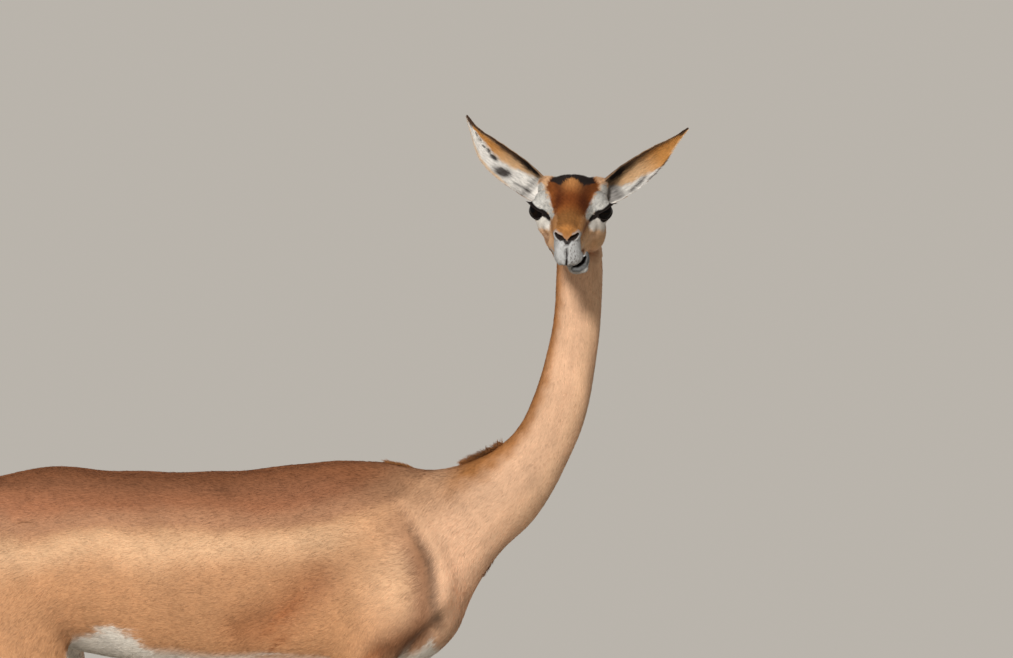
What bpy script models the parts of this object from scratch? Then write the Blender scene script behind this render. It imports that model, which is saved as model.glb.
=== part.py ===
"""A standing gerenuk at life size, head turned to its right.

The animal stands on the floor at Z = 0 and faces +X, with its left side at +Y.
The body is lofted from named sections, fused, relaxed and parted with thin cuts.
"""

import math
import random

import bmesh
import bpy
import numpy as np
from mathutils import Matrix, Vector

NAME = "gerenuk"
MM = 0.001

# Sizes in millimetres, measured in the body's own frame before the final shift.
SHIFT = Vector((2.9, 49.5, 0.0))
GAP = 0.3
VOXEL = 2.8
RELAX_STEPS = 90
BODY_TRIANGLES = 4800
HEAD_TRIANGLES = 2500

# Trunk and neck: back line X, Z, belly line X, Z, half width, egg shape of the section.
TRUNK = [
    (-488.6, 823.9, -475.7, 772.7, 23, 0.0),
    (-471.8, 845.8, -458.9, 721.6, 49, 0.0),
    (-426.6, 866.5, -426.6, 689.7, 67, 0.05),
    (-361.9, 880.9, -361.9, 670.8, 77, 0.08),
    (-297.3, 892.7, -297.3, 660.9, 82, 0.08),
    (-232.7, 889.2, -232.7, 649.7, 90, 0.06),
    (-168.0, 886.9, -168.0, 637.2, 97, 0.06),
    (-103.4, 887.2, -103.4, 629.8, 101, 0.08),
    (-38.8, 890.1, -38.8, 627.6, 100, 0.10),
    (25.9, 898.1, 25.9, 627.9, 94, 0.14),
    (84.0, 903.5, 84.0, 629.4, 88, 0.20),
    (142.2, 902.5, 135.7, 632.3, 81, 0.20),
    (181.0, 896.3, 187.4, 645.3, 73, 0.14),
    (200.3, 895.1, 226.2, 676.2, 65, 0.08),
    (215.9, 895.8, 245.6, 721.2, 58, 0.04),
    (230.1, 897.8, 266.3, 757.1, 53, 0.0),
    (248.2, 904.3, 293.4, 791.8, 49, 0.0),
    (268.9, 913.4, 321.9, 818.9, 45, 0.0),
    (289.5, 928.9, 351.6, 858.7, 41, 0.0),
    (302.5, 941.7, 369.7, 889.5, 38.5, 0.0),
    (315.4, 962.3, 383.9, 920.4, 36.5, 0.0),
    (327.0, 989.2, 395.5, 955.0, 35, 0.0),
    (336.1, 1014.9, 403.3, 987.0, 33.5, 0.0),
    (343.8, 1043.1, 409.7, 1030.6, 32, 0.0),
    (350.3, 1071.3, 414.3, 1066.5, 31, 0.0),
    (354.2, 1103.4, 416.9, 1103.7, 30.5, 0.0),
    (355.5, 1135.4, 418.1, 1135.7, 31, 0.0),
    (356.8, 1158.4, 418.1, 1158.7, 32, 0.0),
    (356.0, 1182.0, 415.0, 1182.0, 34, 0.0),
    (353.0, 1206.0, 405.0, 1206.0, 33, 0.0),
    (355.0, 1226.0, 400.0, 1226.0, 25, 0.0),
]

# Legs, from the top down: X, Z, half depth, half width, distance from the middle plane.
FORELEG = [
    (160, 866, 30, 12, 30),
    (166, 820, 46, 22, 46),
    (172, 770, 60, 30, 52),
    (165, 725, 66, 33, 58),
    (140, 685, 52, 32, 60),
    (122, 650, 38, 28, 61),
    (118, 610, 30, 23, 61),
    (118, 560, 23, 18, 60),
    (118, 480, 17, 14.5, 59),
    (118, 400, 14, 13, 59),
    (118, 365, 15.5, 15.5, 59),
    (119, 340, 17, 16.5, 59),
    (117, 315, 14.5, 14.5, 59),
    (115, 285, 12, 11, 59),
    (115, 200, 11, 9.5, 59),
    (115, 125, 12, 11, 59),
    (116, 100, 15, 15, 59),
    (121, 80, 12.5, 13, 59),
    (131, 60, 11.5, 14, 59),
    (140, 42, 13, 15.5, 59),
    (148, 20, 12, 14, 59),
]
HINDLEG = [
    (-355, 826, 56, 26, 32),
    (-370, 770, 90, 38, 44),
    (-375, 715, 104, 42, 54),
    (-360, 660, 95, 40, 58),
    (-335, 610, 74, 34, 61),
    (-350, 560, 52, 27, 62),
    (-385, 510, 37, 21, 61),
    (-425, 460, 27, 16, 60),
    (-455, 425, 24, 14, 60),
    (-475, 395, 24, 15.5, 60),
    (-478, 365, 20, 15, 60),
    (-474, 330, 15, 12.5, 60),
    (-470, 250, 12.5, 10.5, 60),
    (-466, 150, 12.5, 10.5, 60),
    (-464, 118, 14, 13, 60),
    (-461, 98, 16, 15.5, 60),
    (-454, 78, 13, 13.5, 60),
    (-443, 58, 12, 14.5, 60),
    (-434, 42, 13, 15.5, 60),
    (-426, 20, 12, 14, 60),
]
# Muscles of the shoulder and haunch: X, distance out, Z, half axes.
MUSCLES = [
    (164, 44, 792, 54, 25, 74),
    (192, 46, 744, 46, 26, 54),
    (128, 59, 728, 52, 22, 54),
    (-392, 42, 770, 76, 37, 88),
    (-345, 32, 822, 86, 36, 52),
    (-405, 50, 690, 58, 34, 70),
    (-318, 58, 645, 42, 25, 66),
]
# How far the foot of each leg is set forward of the sections above.
STRIDE = {
    "foreleg_left": 34.0,
    "foreleg_right": -12.0,
    "hindleg_left": -26.0,
    "hindleg_right": 30.0,
}
FORELEG_TOP = 700.0
HINDLEG_TOP = 640.0

# Tail: X, Z, half depth, half width.
TAIL = [
    (-455, 848, 15, 15),
    (-484, 840, 13, 13),
    (-508, 812, 10.5, 11),
    (-518, 765, 8.5, 9),
    (-521, 710, 7, 7.5),
    (-523, 655, 6, 6.5),
    (-524, 610, 5, 5.5),
    (-524, 590, 4, 4.5),
]

# Locks of long hair: seed of their variation, how deep a root sinks, sides and steps of a lock.
LOCK_SEED = 11
LOCK_SINK = 3.0
LOCK_SIDES = 5
LOCK_STEPS = 3
# The crest at the root of the neck: its ends, rows, locks in a row, size, upward lean.
CREST_START = Vector((237.0, 0.0, 904.0))
CREST_END = Vector((285.0, 0.0, 932.0))
CREST_ROWS = (-9.0, 0.0, 9.0)
CREST_COUNT = 5
CREST_LOCK = (22.0, 13.5, 4.2)
CREST_LEAN = 0.5
# The tuft of the tail: height of the first tier, drop between tiers, tiers, locks round each.
TUFT_TOP = 706.0
TUFT_DROP = 23.0
TUFT_TIERS = 5
TUFT_AROUND = 4
TUFT_LOCK = (50.0, 12.0, 4.0)

# Head frame: f forward from the nape, l to the animal's left, u up.
HEAD_ORIGIN = Vector((377.2, 15.1, 1236.6))
HEAD_PITCH = math.radians(12.5)
HEAD_TURN = math.radians(5.4)
HEAD_ROLL = math.radians(-1.0)

# Skull and upper jaw: f, top u, bottom u, half width, power of the section, egg shape.
SKULL = [
    (0, 10, -24, 20, 2.0, 0.0),
    (8, 26, -36, 28, 2.1, 0.0),
    (20, 38, -47, 35, 2.6, 0.0),
    (35, 43, -53, 37.5, 2.8, 0.05),
    (50, 45, -54, 38, 2.8, 0.05),
    (65, 43.5, -52, 39, 2.6, 0.0),
    (80, 40, -49, 38, 2.4, -0.05),
    (95, 34.5, -45, 34, 2.2, -0.05),
    (110, 31, -41, 29, 2.3, 0.0),
    (130, 26.5, -37, 24, 2.3, 0.05),
    (150, 23, -34, 20.5, 2.3, 0.1),
    (170, 20.5, -32, 18.5, 2.4, 0.1),
    (190, 18.5, -31, 18, 2.4, 0.05),
    (204, 16, -32, 18, 2.5, 0.0),
    (213, 12, -32.5, 16.5, 2.4, 0.0),
    (219, 7, -30, 12.5, 2.2, 0.0),
    (222, 1, -24, 8, 2.0, 0.0),
]
# Lower jaw, pushed to the animal's left as it chews: f, l, top u, bottom u, half width.
JAW = [
    (45, 0, -18, -55, 26),
    (75, 0, -20, -53.5, 26),
    (100, 0, -22, -50, 22.5),
    (125, 1, -24, -47, 19),
    (150, 4.5, -26, -45.5, 16.5),
    (172, 9, -28, -45, 14.5),
    (188, 13, -30, -45.5, 13.5),
    (200, 15.5, -32, -45.5, 12.5),
    (206, 16.5, -33, -43.5, 9),
]
# Swellings over the lofts, in the head frame: f, l, u, then the three half axes.
SWELLINGS = [
    (87, 38.8, 8.5, 18.5, 16.6, 16.2),
    (76, 33, 20, 25, 15, 12),
    (82, 31, -11, 32, 14.5, 20),
    (54, 29, -24, 36, 15.5, 27),
    (24, 30, 20, 19, 16, 18),
    (208, 9.5, 6, 11, 8, 8),
    (200, 9.5, -22, 17, 10, 11),
]

EYE_CENTRE = (87.0, 38.9, 8.5)
EYE_RADIUS = 14.4
EYE_YAW = math.radians(58.0)
EYE_LIFT = math.radians(7.0)
EYE_SLANT = math.radians(21.0)
LID_LENGTH = 33.0
LID_HEIGHT = 19.0

# The line of the lips in the head frame, from the right corner round to the left one:
# f, l, u, half height of the groove.
LIPS = [
    (146, -26, -25, 1.0),
    (165, -21, -27.5, 1.2),
    (185, -18.5, -30, 1.2),
    (200, -16, -32, 1.3),
    (211, -10, -33.5, 1.5),
    (215, 0, -34, 2.0),
    (213, 9, -34, 3.2),
    (206, 18, -31, 4.6),
    (195, 23, -28.5, 3.2),
    (178, 23, -27.5, 1.8),
    (162, 23, -26.5, 1.4),
    (146, 27, -25, 1.0),
]
LIP_DEPTH = 9.0
NOSTRIL = {"centre": (217.0, 9.6, 6.5), "half": (6.5, 5.2, 2.3), "slant": math.radians(32)}

# Ears in the body frame: root, tip, how far the middle line bows down, how much of the width is
# lost towards the tip, and below that the way each cup faces.
EARS = {
    "ear_right": {"root": (333.5, -2, 1255), "tip": (244.5, -22, 1346), "bow": 10.5, "slim": 0.0},
    "ear_left": {"root": (422, 4, 1251.5), "tip": (528.5, -10, 1330.5), "bow": 3.5, "slim": 0.25},
}
EAR_FACE = {"ear_right": (-0.20, -0.95, -0.10), "ear_left": (0.50, -0.84, -0.20)}
EAR_WALL = 2.6
# Ear sections from inside the head to the tip: share of the length, unrolled width, bend.
EAR_LEAF = [
    (-0.34, 26, 300),
    (-0.14, 46, 240),
    (0.0, 58, 195),
    (0.15, 60, 172),
    (0.3, 58, 150),
    (0.5, 49, 128),
    (0.65, 36, 110),
    (0.77, 21, 98),
    (0.87, 11, 92),
    (0.94, 6, 88),
    (1.0, 2.2, 80),
]

# Hooves: length on the ground, height in front and at the heel, half width of one hoof.
HOOF_TOE = 33.0
HOOF_HEEL = -17.0
HOOF_FRONT_HEIGHT = 35.0
HOOF_HEEL_HEIGHT = 19.0
HOOF_WIDTH = 14.0
HOOF_CLEFT = 1.6
# How far the toe, the heel and the side of a hoof lean in from the ground to the upper edge.
HOOF_TOE_LEAN = 23.0
HOOF_HEEL_LEAN = 3.0
HOOF_SIDE_LEAN = 2.2
HOOF_LEVELS = 4
HOOF_POINTS = 14

# Where the cuts part the body: a point of each plane, and the normal of the sloping ones.
NECK_TOP = Vector((387, 0, 1164))
NECK_TOP_NORMAL = Vector((0.0, -0.3, 1.0)).normalized()
NECK_ROOT = Vector((252, 0, 838))
NECK_ROOT_NORMAL = Vector((0.84, 0.0, 0.54)).normalized()
TAIL_ROOT = Vector((-499, 0, 826))
TAIL_ROOT_NORMAL = Vector((-0.68, 0.0, -0.73)).normalized()
ELBOW_Z = 622.0
CARPUS_Z = 322.0
HOCK_Z = 352.0
HAUNCH_FRONT = Vector((-205, 0, 634))
HAUNCH_BACK = Vector((-500, 0, 697))
BUTTOCKS = Vector((-365, 0, 620))
# How deep the hooves and the foot between them are cut free below the coronet.
FOOT_CUT = 80.0

COAT = (0.46, 0.24, 0.12, 1.0)
PALE_COAT = (0.62, 0.42, 0.27, 1.0)
HORN_BLACK = (0.025, 0.021, 0.02, 1.0)
EYE_BLACK = (0.012, 0.008, 0.006, 1.0)
# Colour and roughness of the parts, by a word of their names.
LOOKS = {
    "head": (COAT, 0.8),
    "neck": (PALE_COAT, 0.8),
    "torso": (COAT, 0.8),
    "tail": (COAT, 0.85),
    "eye": (EYE_BLACK, 0.08),
    "ear": (PALE_COAT, 0.8),
    "hoof": (HORN_BLACK, 0.45),
    "leg": (PALE_COAT, 0.8),
}


def head_matrix():
    """The head's frame in the body's frame."""
    turn, pitch = HEAD_TURN, HEAD_PITCH
    forward = Vector(
        (
            math.sin(turn) * math.cos(pitch),
            -math.cos(turn) * math.cos(pitch),
            -math.sin(pitch),
        )
    )
    left = Vector((math.cos(turn), math.sin(turn), 0.0))
    up = forward.cross(left)
    roll = Matrix.Rotation(HEAD_ROLL, 3, forward)
    left = roll @ left
    up = roll @ up
    matrix = Matrix.Identity(4)
    for row in range(3):
        matrix[row][0] = forward[row]
        matrix[row][1] = left[row]
        matrix[row][2] = up[row]
        matrix[row][3] = HEAD_ORIGIN[row]
    return matrix


HEAD = head_matrix()


def head_point(f, l, u):
    return HEAD @ Vector((f, l, u))


def smooth_rows(rows, steps):
    """Rows in between those of a table, on a Catmull-Rom curve."""
    table = np.array(rows, dtype=float)
    padded = np.vstack([2 * table[0] - table[1], table, 2 * table[-1] - table[-2]])
    result = []
    for index in range(1, len(padded) - 2):
        before, start, end, after = padded[index - 1 : index + 3]
        for step in range(steps):
            t = step / steps
            row = 0.5 * (
                2 * start
                + (end - before) * t
                + (2 * before - 5 * start + 4 * end - after) * t**2
                + (3 * start - before - 3 * end + after) * t**3
            )
            result.append(row)
    result.append(table[-1])
    return result


def section(centre, up, side, half_up, half_side, power=2.2, egg=0.0, count=28):
    """A closed superellipse, narrower towards up where egg is above zero."""
    points = []
    for index in range(count):
        angle = 2 * math.pi * index / count
        cosine, sine = math.cos(angle), math.sin(angle)
        rise = math.copysign(abs(cosine) ** (2 / power), cosine)
        reach = math.copysign(abs(sine) ** (2 / power), sine) * (1 - egg * rise)
        points.append(centre + up * (half_up * rise) + side * (half_side * reach))
    return points


def loft(mesh, rings):
    """Closed skin through rings of equal counts."""
    loops = [[mesh.verts.new(point) for point in ring] for ring in rings]
    count = len(loops[0])
    faces = [mesh.faces.new(loops[0]), mesh.faces.new(loops[-1])]
    for first, second in zip(loops, loops[1:]):
        for index in range(count):
            after = (index + 1) % count
            faces.append(mesh.faces.new((first[index], first[after], second[after], second[index])))
    bmesh.ops.recalc_face_normals(mesh, faces=faces)


def ellipsoid(mesh, centre, axes, matrix, segments=28, rings=16):
    """A ball stretched along three axes of a frame."""
    place = matrix @ Matrix.Translation(centre) @ Matrix.Diagonal((*axes, 1.0))
    bmesh.ops.create_uvsphere(
        mesh, u_segments=segments, v_segments=rings, radius=1.0, matrix=place
    )


def trunk_form(mesh):
    rings = []
    for back_x, back_z, belly_x, belly_z, half_width, egg in smooth_rows(TRUNK, 3):
        back = Vector((back_x, 0, back_z))
        belly = Vector((belly_x, 0, belly_z))
        up = (back - belly).normalized()
        half = (back - belly).length / 2
        centre = (back + belly) / 2
        rings.append(section(centre, up, Vector((0, 1, 0)), half, half_width, 2.2, egg, 40))
    loft(mesh, rings)


def leg_rows(table, leg):
    """Leg sections with the stride added, rising from nothing at the top to full at the foot."""
    top = FORELEG_TOP if "fore" in leg else HINDLEG_TOP
    side = 1 if leg.endswith("left") else -1
    rows = []
    for x, z, half_depth, half_width, out in table:
        share = min(max((top - z) / (top - 120.0), 0.0), 1.0)
        rows.append((x + STRIDE[leg] * share, z, half_depth, half_width, side * out))
    return rows


def leg_form(mesh, leg):
    table = FORELEG if "fore" in leg else HINDLEG
    rings = []
    for x, z, half_depth, half_width, out in smooth_rows(leg_rows(table, leg), 3):
        centre = Vector((x, out, z))
        rings.append(
            section(centre, Vector((1, 0, 0)), Vector((0, 1, 0)), half_depth, half_width, 2.1, 0, 28)
        )
    loft(mesh, rings)


def tail_form(mesh):
    rings = []
    for x, z, half_depth, half_width in smooth_rows(TAIL, 3):
        centre = Vector((x, 0, z))
        rings.append(
            section(centre, Vector((1, 0, 0)), Vector((0, 1, 0)), half_depth, half_width, 2, 0, 20)
        )
    loft(mesh, rings)


def head_form(mesh):
    up = HEAD.to_3x3() @ Vector((0, 0, 1))
    side = HEAD.to_3x3() @ Vector((0, 1, 0))
    rings = []
    for f, top, bottom, half_width, power, egg in smooth_rows(SKULL, 3):
        centre = head_point(f, 0, (top + bottom) / 2)
        half = (top - bottom) / 2
        rings.append(section(centre, up, side, half, half_width, power, egg, 36))
    loft(mesh, rings)
    rings = []
    for f, l, top, bottom, half_width in smooth_rows(JAW, 3):
        centre = head_point(f, l, (top + bottom) / 2)
        rings.append(section(centre, up, side, (top - bottom) / 2, half_width, 2.3, 0, 28))
    loft(mesh, rings)
    for f, l, u, *axes in SWELLINGS:
        for way in (1, -1):
            ellipsoid(mesh, (f, way * l, u), axes, HEAD)


def muscle_forms(mesh):
    for x, out, z, *axes in MUSCLES:
        for way in (1, -1):
            ellipsoid(mesh, (x, way * out, z), axes, Matrix.Identity(4))


def mesh_object(name, mesh, collection):
    data = bpy.data.meshes.new(name)
    mesh.to_mesh(data)
    mesh.free()
    thing = bpy.data.objects.new(name, data)
    collection.objects.link(thing)
    return thing


def applied(thing):
    """The object with its modifiers turned into mesh."""
    graph = bpy.context.evaluated_depsgraph_get()
    data = bpy.data.meshes.new_from_object(thing.evaluated_get(graph))
    old = thing.data
    thing.modifiers.clear()
    thing.data = data
    bpy.data.meshes.remove(old)
    return thing


def blend_weight(point):
    """How freely the surface relaxes: fully on the trunk, little on legs, tail and head."""
    body = min(max((point.z - 560.0) / 90.0, 0.0), 1.0)
    tail = min(max((-486.0 - point.x) / 12.0, 0.0), 1.0)
    neck = min(max((point.z - 960.0) / 90.0, 0.0), 1.0)
    return 0.05 + 0.95 * body * (1 - neck) * (1 - tail) + 0.05 * neck


def relax(thing, repeats, weight):
    group = thing.vertex_groups.new(name="relax")
    for vertex in thing.data.vertices:
        group.add([vertex.index], weight(vertex.co / MM), "REPLACE")
    smooth = thing.modifiers.new("relax", "SMOOTH")
    smooth.factor = 0.5
    smooth.iterations = repeats
    smooth.vertex_group = group.name
    applied(thing)
    thing.vertex_groups.clear()


def thin_out(thing, triangles):
    faces = sum(len(polygon.vertices) - 2 for polygon in thing.data.polygons)
    decimate = thing.modifiers.new("thin", "DECIMATE")
    decimate.ratio = triangles / faces
    decimate.use_collapse_triangulate = True
    applied(thing)


def halved(thing, name, point, normal, collection):
    """A closed copy of the part of an object on the far side of a plane."""
    mesh = bmesh.new()
    mesh.from_mesh(thing.data)
    geometry = mesh.verts[:] + mesh.edges[:] + mesh.faces[:]
    cut = bmesh.ops.bisect_plane(
        mesh, geom=geometry, plane_co=point * MM, plane_no=normal, clear_inner=True
    )
    edges = [item for item in cut["geom_cut"] if isinstance(item, bmesh.types.BMEdge)]
    bmesh.ops.holes_fill(mesh, edges=edges, sides=0)
    bmesh.ops.triangulate(mesh, faces=[face for face in mesh.faces if len(face.verts) > 4])
    return mesh_object(name, mesh, collection)


def slab(collection, name, centre, normal, along, across, length, width, thickness):
    """A thin box used to cut, across a normal, set by the directions of its two long sides."""
    mesh = bmesh.new()
    bmesh.ops.create_cube(mesh, size=1.0)
    matrix = Matrix.Identity(4)
    normal, along = Vector(normal).normalized(), Vector(along).normalized()
    across = Vector(across) if across else normal.cross(along)
    for row in range(3):
        matrix[row][0] = along[row] * length * MM
        matrix[row][1] = across[row] * width * MM
        matrix[row][2] = normal[row] * thickness * MM
        matrix[row][3] = centre[row] * MM
    mesh.transform(matrix)
    bmesh.ops.recalc_face_normals(mesh, faces=mesh.faces)
    return mesh_object(name, mesh, collection)


def subtract(thing, cutters):
    """Cut an object by every object of a collection."""
    boolean = thing.modifiers.new("cut", "BOOLEAN")
    boolean.operation = "DIFFERENCE"
    boolean.operand_type = "COLLECTION"
    boolean.collection = cutters
    applied(thing)


def islands(thing):
    """Closed surfaces of an object, each with its volume and its middle."""
    mesh = bmesh.new()
    mesh.from_mesh(thing.data)
    found = []
    seen = set()
    for start in mesh.verts:
        if start in seen:
            continue
        stack, members = [start], []
        seen.add(start)
        while stack:
            vertex = stack.pop()
            members.append(vertex)
            for edge in vertex.link_edges:
                other = edge.other_vert(vertex)
                if other not in seen:
                    seen.add(other)
                    stack.append(other)
        keep = set(members)
        piece = bmesh.new()
        twin = {vertex: piece.verts.new(vertex.co) for vertex in members}
        for face in mesh.faces:
            if face.verts[0] in keep:
                piece.faces.new([twin[vertex] for vertex in face.verts])
        middle = sum((vertex.co for vertex in members), Vector()) / len(members)
        found.append((abs(piece.calc_volume()), middle, piece))
    mesh.free()
    return sorted(found, key=lambda item: -item[0])


def new_collection(name, parent=None):
    collection = bpy.data.collections.new(name)
    (parent or bpy.context.scene.collection).children.link(collection)
    return collection


def discard(collection):
    for thing in list(collection.objects):
        data = thing.data
        bpy.data.objects.remove(thing)
        bpy.data.meshes.remove(data)
    bpy.data.collections.remove(collection)


def material(name, colour, roughness):
    result = bpy.data.materials.new(name)
    result.use_nodes = True
    shader = result.node_tree.nodes["Principled BSDF"]
    shader.inputs["Base Color"].default_value = colour
    shader.inputs["Roughness"].default_value = roughness
    shader.inputs["Metallic"].default_value = 0.0
    result.diffuse_color = colour
    return result


def finish(thing, name):
    """Name an object and give it its own material."""
    thing.name = name
    thing.data.name = name
    look = next(value for key, value in LOOKS.items() if key in name)
    thing.data.materials.clear()
    thing.data.materials.append(material(name + "_finish", *look))


def foot_place(leg):
    """Where a foot's coronet stands."""
    table = FORELEG if "fore" in leg else HINDLEG
    row = leg_rows(table, leg)[-2]
    return Vector((row[0], row[4], 0))


def coronet(leg):
    """A point on the upper edge of the hooves and the direction square to it."""
    foot = foot_place(leg)
    run = HOOF_TOE - HOOF_TOE_LEAN - (HOOF_HEEL + HOOF_HEEL_LEAN)
    rise = HOOF_FRONT_HEIGHT - HOOF_HEEL_HEIGHT
    heel = foot + Vector((HOOF_HEEL + HOOF_HEEL_LEAN, 0, HOOF_HEEL_HEIGHT))
    return heel, Vector((-rise, 0, run)).normalized()


def cut_body(body, parts):
    """Part the body with thin slabs and name what comes apart."""
    cutters = new_collection("cutters")
    side = Vector((0, 1, 0))
    slab(cutters, "cut_neck", NECK_ROOT, NECK_ROOT_NORMAL, side, None, 160, 190, GAP)
    slab(cutters, "cut_tail", TAIL_ROOT, TAIL_ROOT_NORMAL, side, None, 60, 60, GAP)
    slab(cutters, "cut_elbow", (150, 0, ELBOW_Z), (0, 0, 1), side, None, 260, 260, GAP)
    line = HAUNCH_BACK - HAUNCH_FRONT
    middle = (HAUNCH_BACK + HAUNCH_FRONT) / 2
    normal = line.cross(side)
    slab(cutters, "cut_haunch", middle, normal, side, None, 260, line.length, GAP)
    slab(cutters, "cut_between", BUTTOCKS, side, (1, 0, 0), None, 330, 200, GAP)
    for leg in STRIDE:
        fore = "fore" in leg
        rows = leg_rows(FORELEG if fore else HINDLEG, leg)
        z = CARPUS_Z if fore else HOCK_Z
        row = min(rows, key=lambda item: abs(item[1] - z))
        slab(cutters, "cut_" + leg, (row[0], row[4], z), (0, 0, 1), side, None, 70, 90, GAP)
        point, normal = coronet(leg)
        centre = point + normal.cross(side) * HOOF_WIDTH - normal * (FOOT_CUT / 2 - GAP)
        slab(cutters, "cut_foot_" + leg, centre, normal, side, None, 60, 90, FOOT_CUT)
    subtract(body, cutters)
    discard(cutters)
    wanted = {
        "torso": Vector((-100, 0, 780)),
        "neck": Vector((370, 0, 1040)),
        "tail": Vector((-520, 0, 700)),
    }
    for leg in STRIDE:
        fore = "fore" in leg
        out = 60 if leg.endswith("left") else -60
        if fore:
            wanted[leg + "_upper"] = Vector((125, out, 480))
            wanted[leg + "_lower"] = Vector((120 + STRIDE[leg], out, 180))
        else:
            wanted[leg + "_upper"] = Vector((-380, out, 540))
            wanted[leg + "_lower"] = Vector((-465 + STRIDE[leg], out, 190))
    pieces = islands(body)[: len(wanted)]
    for name, place in wanted.items():
        best = min(pieces, key=lambda item: (item[1] / MM - place).length)
        pieces.remove(best)
        finish(mesh_object(name, best[2], parts), name)
    for item in pieces:
        item[2].free()


def hoof(parts, leg, inner):
    """One of the two hooves of a foot, flat below and on its inner side."""
    foot = foot_place(leg)
    outward = 1 if leg.endswith("left") else -1
    way = -outward if inner else outward
    point, normal = coronet(leg)
    mesh = bmesh.new()
    rings = []
    for level in range(HOOF_LEVELS):
        share = level / (HOOF_LEVELS - 1)
        back = HOOF_HEEL + HOOF_HEEL_LEAN * share
        front = HOOF_TOE - HOOF_TOE_LEAN * share
        width = HOOF_WIDTH - HOOF_SIDE_LEAN * share
        ring = []
        for index in range(HOOF_POINTS):
            angle = 2 * math.pi * index / HOOF_POINTS
            along = math.cos(angle)
            x = (front + back) / 2 + (front - back) / 2 * along
            taper = 1 - 0.45 * max(along, 0) ** 2
            across = HOOF_CLEFT / 2 + width * taper * (0.5 + 0.5 * math.sin(angle)) ** 0.75
            top = point.z - (foot.x + x - point.x) * normal.x / normal.z
            ring.append(Vector((foot.x + x, foot.y + way * across, share * top)))
        rings.append(ring)
    loft(mesh, rings)
    mesh.transform(Matrix.Scale(MM, 4))
    name = leg + ("_hoof_inner" if inner else "_hoof_outer")
    finish(mesh_object(name, mesh, parts), name)


def lock(collection, name, root, outward, lie, across, size):
    """A flat tapered lock that starts below the surface and bends over along its lie."""
    length, width, thickness = size
    mesh = bmesh.new()
    rings = []
    for step in range(LOCK_STEPS + 1):
        share = step / LOCK_STEPS
        taper = 0.08 + 0.92 * (1 - share**1.9)
        rise = 0.06 * length * math.sin(math.pi * share) - LOCK_SINK * (1 - share) ** 2
        centre = root + lie * (length * share) + outward * rise
        heading = (lie + outward * (0.3 - 0.5 * share)).normalized()
        thick = heading.cross(across).normalized()
        half_thick, half_width = thickness / 2 * taper, width / 2 * taper
        rings.append(section(centre, thick, across, half_thick, half_width, 2, 0, LOCK_SIDES))
    loft(mesh, rings)
    bmesh.ops.triangulate(mesh, faces=mesh.faces)
    mesh.transform(Matrix.Scale(MM, 4))
    return mesh_object(name, mesh, collection)


def nearest_surface(thing, place):
    """The point of an object's surface nearest to a place in millimetres, and its normal."""
    _, point, normal, _ = thing.closest_point_on_mesh(place * MM)
    return point / MM, normal


def fuse_locks(thing, extras):
    """Union an object with a collection of closed locks and keep its largest surface."""
    boolean = thing.modifiers.new("locks", "BOOLEAN")
    boolean.operation = "UNION"
    boolean.operand_type = "COLLECTION"
    boolean.collection = extras
    applied(thing)
    discard(extras)
    pieces = islands(thing)
    old = thing.data
    fresh = bpy.data.meshes.new(thing.name)
    pieces[0][2].to_mesh(fresh)
    for material_slot in old.materials:
        fresh.materials.append(material_slot)
    thing.data = fresh
    bpy.data.meshes.remove(old)
    for item in pieces:
        item[2].free()


def neck_crest(parts, draw):
    """Rows of short locks that lean back over the root of the neck."""
    thing = parts.objects["neck"]
    extras = new_collection("neck_locks")
    for row, out in enumerate(CREST_ROWS):
        for index in range(CREST_COUNT):
            share = (index + 0.5 * (row % 2)) / (CREST_COUNT - 0.5)
            place = CREST_START.lerp(CREST_END, share + draw.uniform(-0.03, 0.03))
            place.y = out + draw.uniform(-1.5, 1.5)
            point, normal = nearest_surface(thing, place)
            back = Vector((-1, draw.uniform(-0.15, 0.15), 0))
            back = (back - normal * back.dot(normal)).normalized()
            lie = (back + normal * CREST_LEAN * draw.uniform(0.75, 1.2)).normalized()
            across = normal.cross(back).normalized()
            size = [value * draw.uniform(0.85, 1.1) for value in CREST_LOCK]
            lock(extras, f"neck_lock_{row}_{index}", point, normal, lie, across, size)
    fuse_locks(thing, extras)


def tail_tuft(parts, draw):
    """Tiers of hanging locks round the lower half of the tail."""
    thing = parts.objects["tail"]
    extras = new_collection("tail_locks")
    axis = Vector((TAIL[-2][0], 0, 0))
    for tier in range(TUFT_TIERS):
        for index in range(TUFT_AROUND):
            turn = (index + 0.5 * (tier % 2)) / TUFT_AROUND
            angle = 2 * math.pi * turn + draw.uniform(-0.2, 0.2)
            out = Vector((math.cos(angle), math.sin(angle), 0))
            height = TUFT_TOP - TUFT_DROP * tier + draw.uniform(-4, 4)
            point, _ = nearest_surface(thing, axis + out * 9 + Vector((0, 0, height)))
            lie = (Vector((0, 0, -1)) + out * draw.uniform(0.03, 0.10)).normalized()
            across = out.cross(Vector((0, 0, 1))).normalized()
            size = [value * draw.uniform(0.88, 1.1) for value in TUFT_LOCK]
            lock(extras, f"tail_lock_{tier}_{index}", point, out, lie, across, size)
    fuse_locks(thing, extras)


def eye_frame(way):
    """A frame on the eyeball: x along the lids, y across them, z out of the eye."""
    yaw, lift = EYE_YAW, EYE_LIFT
    out = Vector((math.cos(yaw) * math.cos(lift), way * math.sin(yaw) * math.cos(lift), math.sin(lift)))
    flat = Vector((math.sin(yaw), -way * math.cos(yaw), 0.0))
    across = out.cross(flat)
    if across.z < 0:
        across = -across
    along = flat * math.cos(EYE_SLANT) - across * math.sin(EYE_SLANT)
    across = out.cross(along)
    matrix = Matrix.Identity(4)
    for row in range(3):
        matrix[row][0] = along[row]
        matrix[row][1] = across[row]
        matrix[row][2] = out[row]
        matrix[row][3] = (EYE_CENTRE[0], way * EYE_CENTRE[1], EYE_CENTRE[2])[row]
    return HEAD @ matrix


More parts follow.
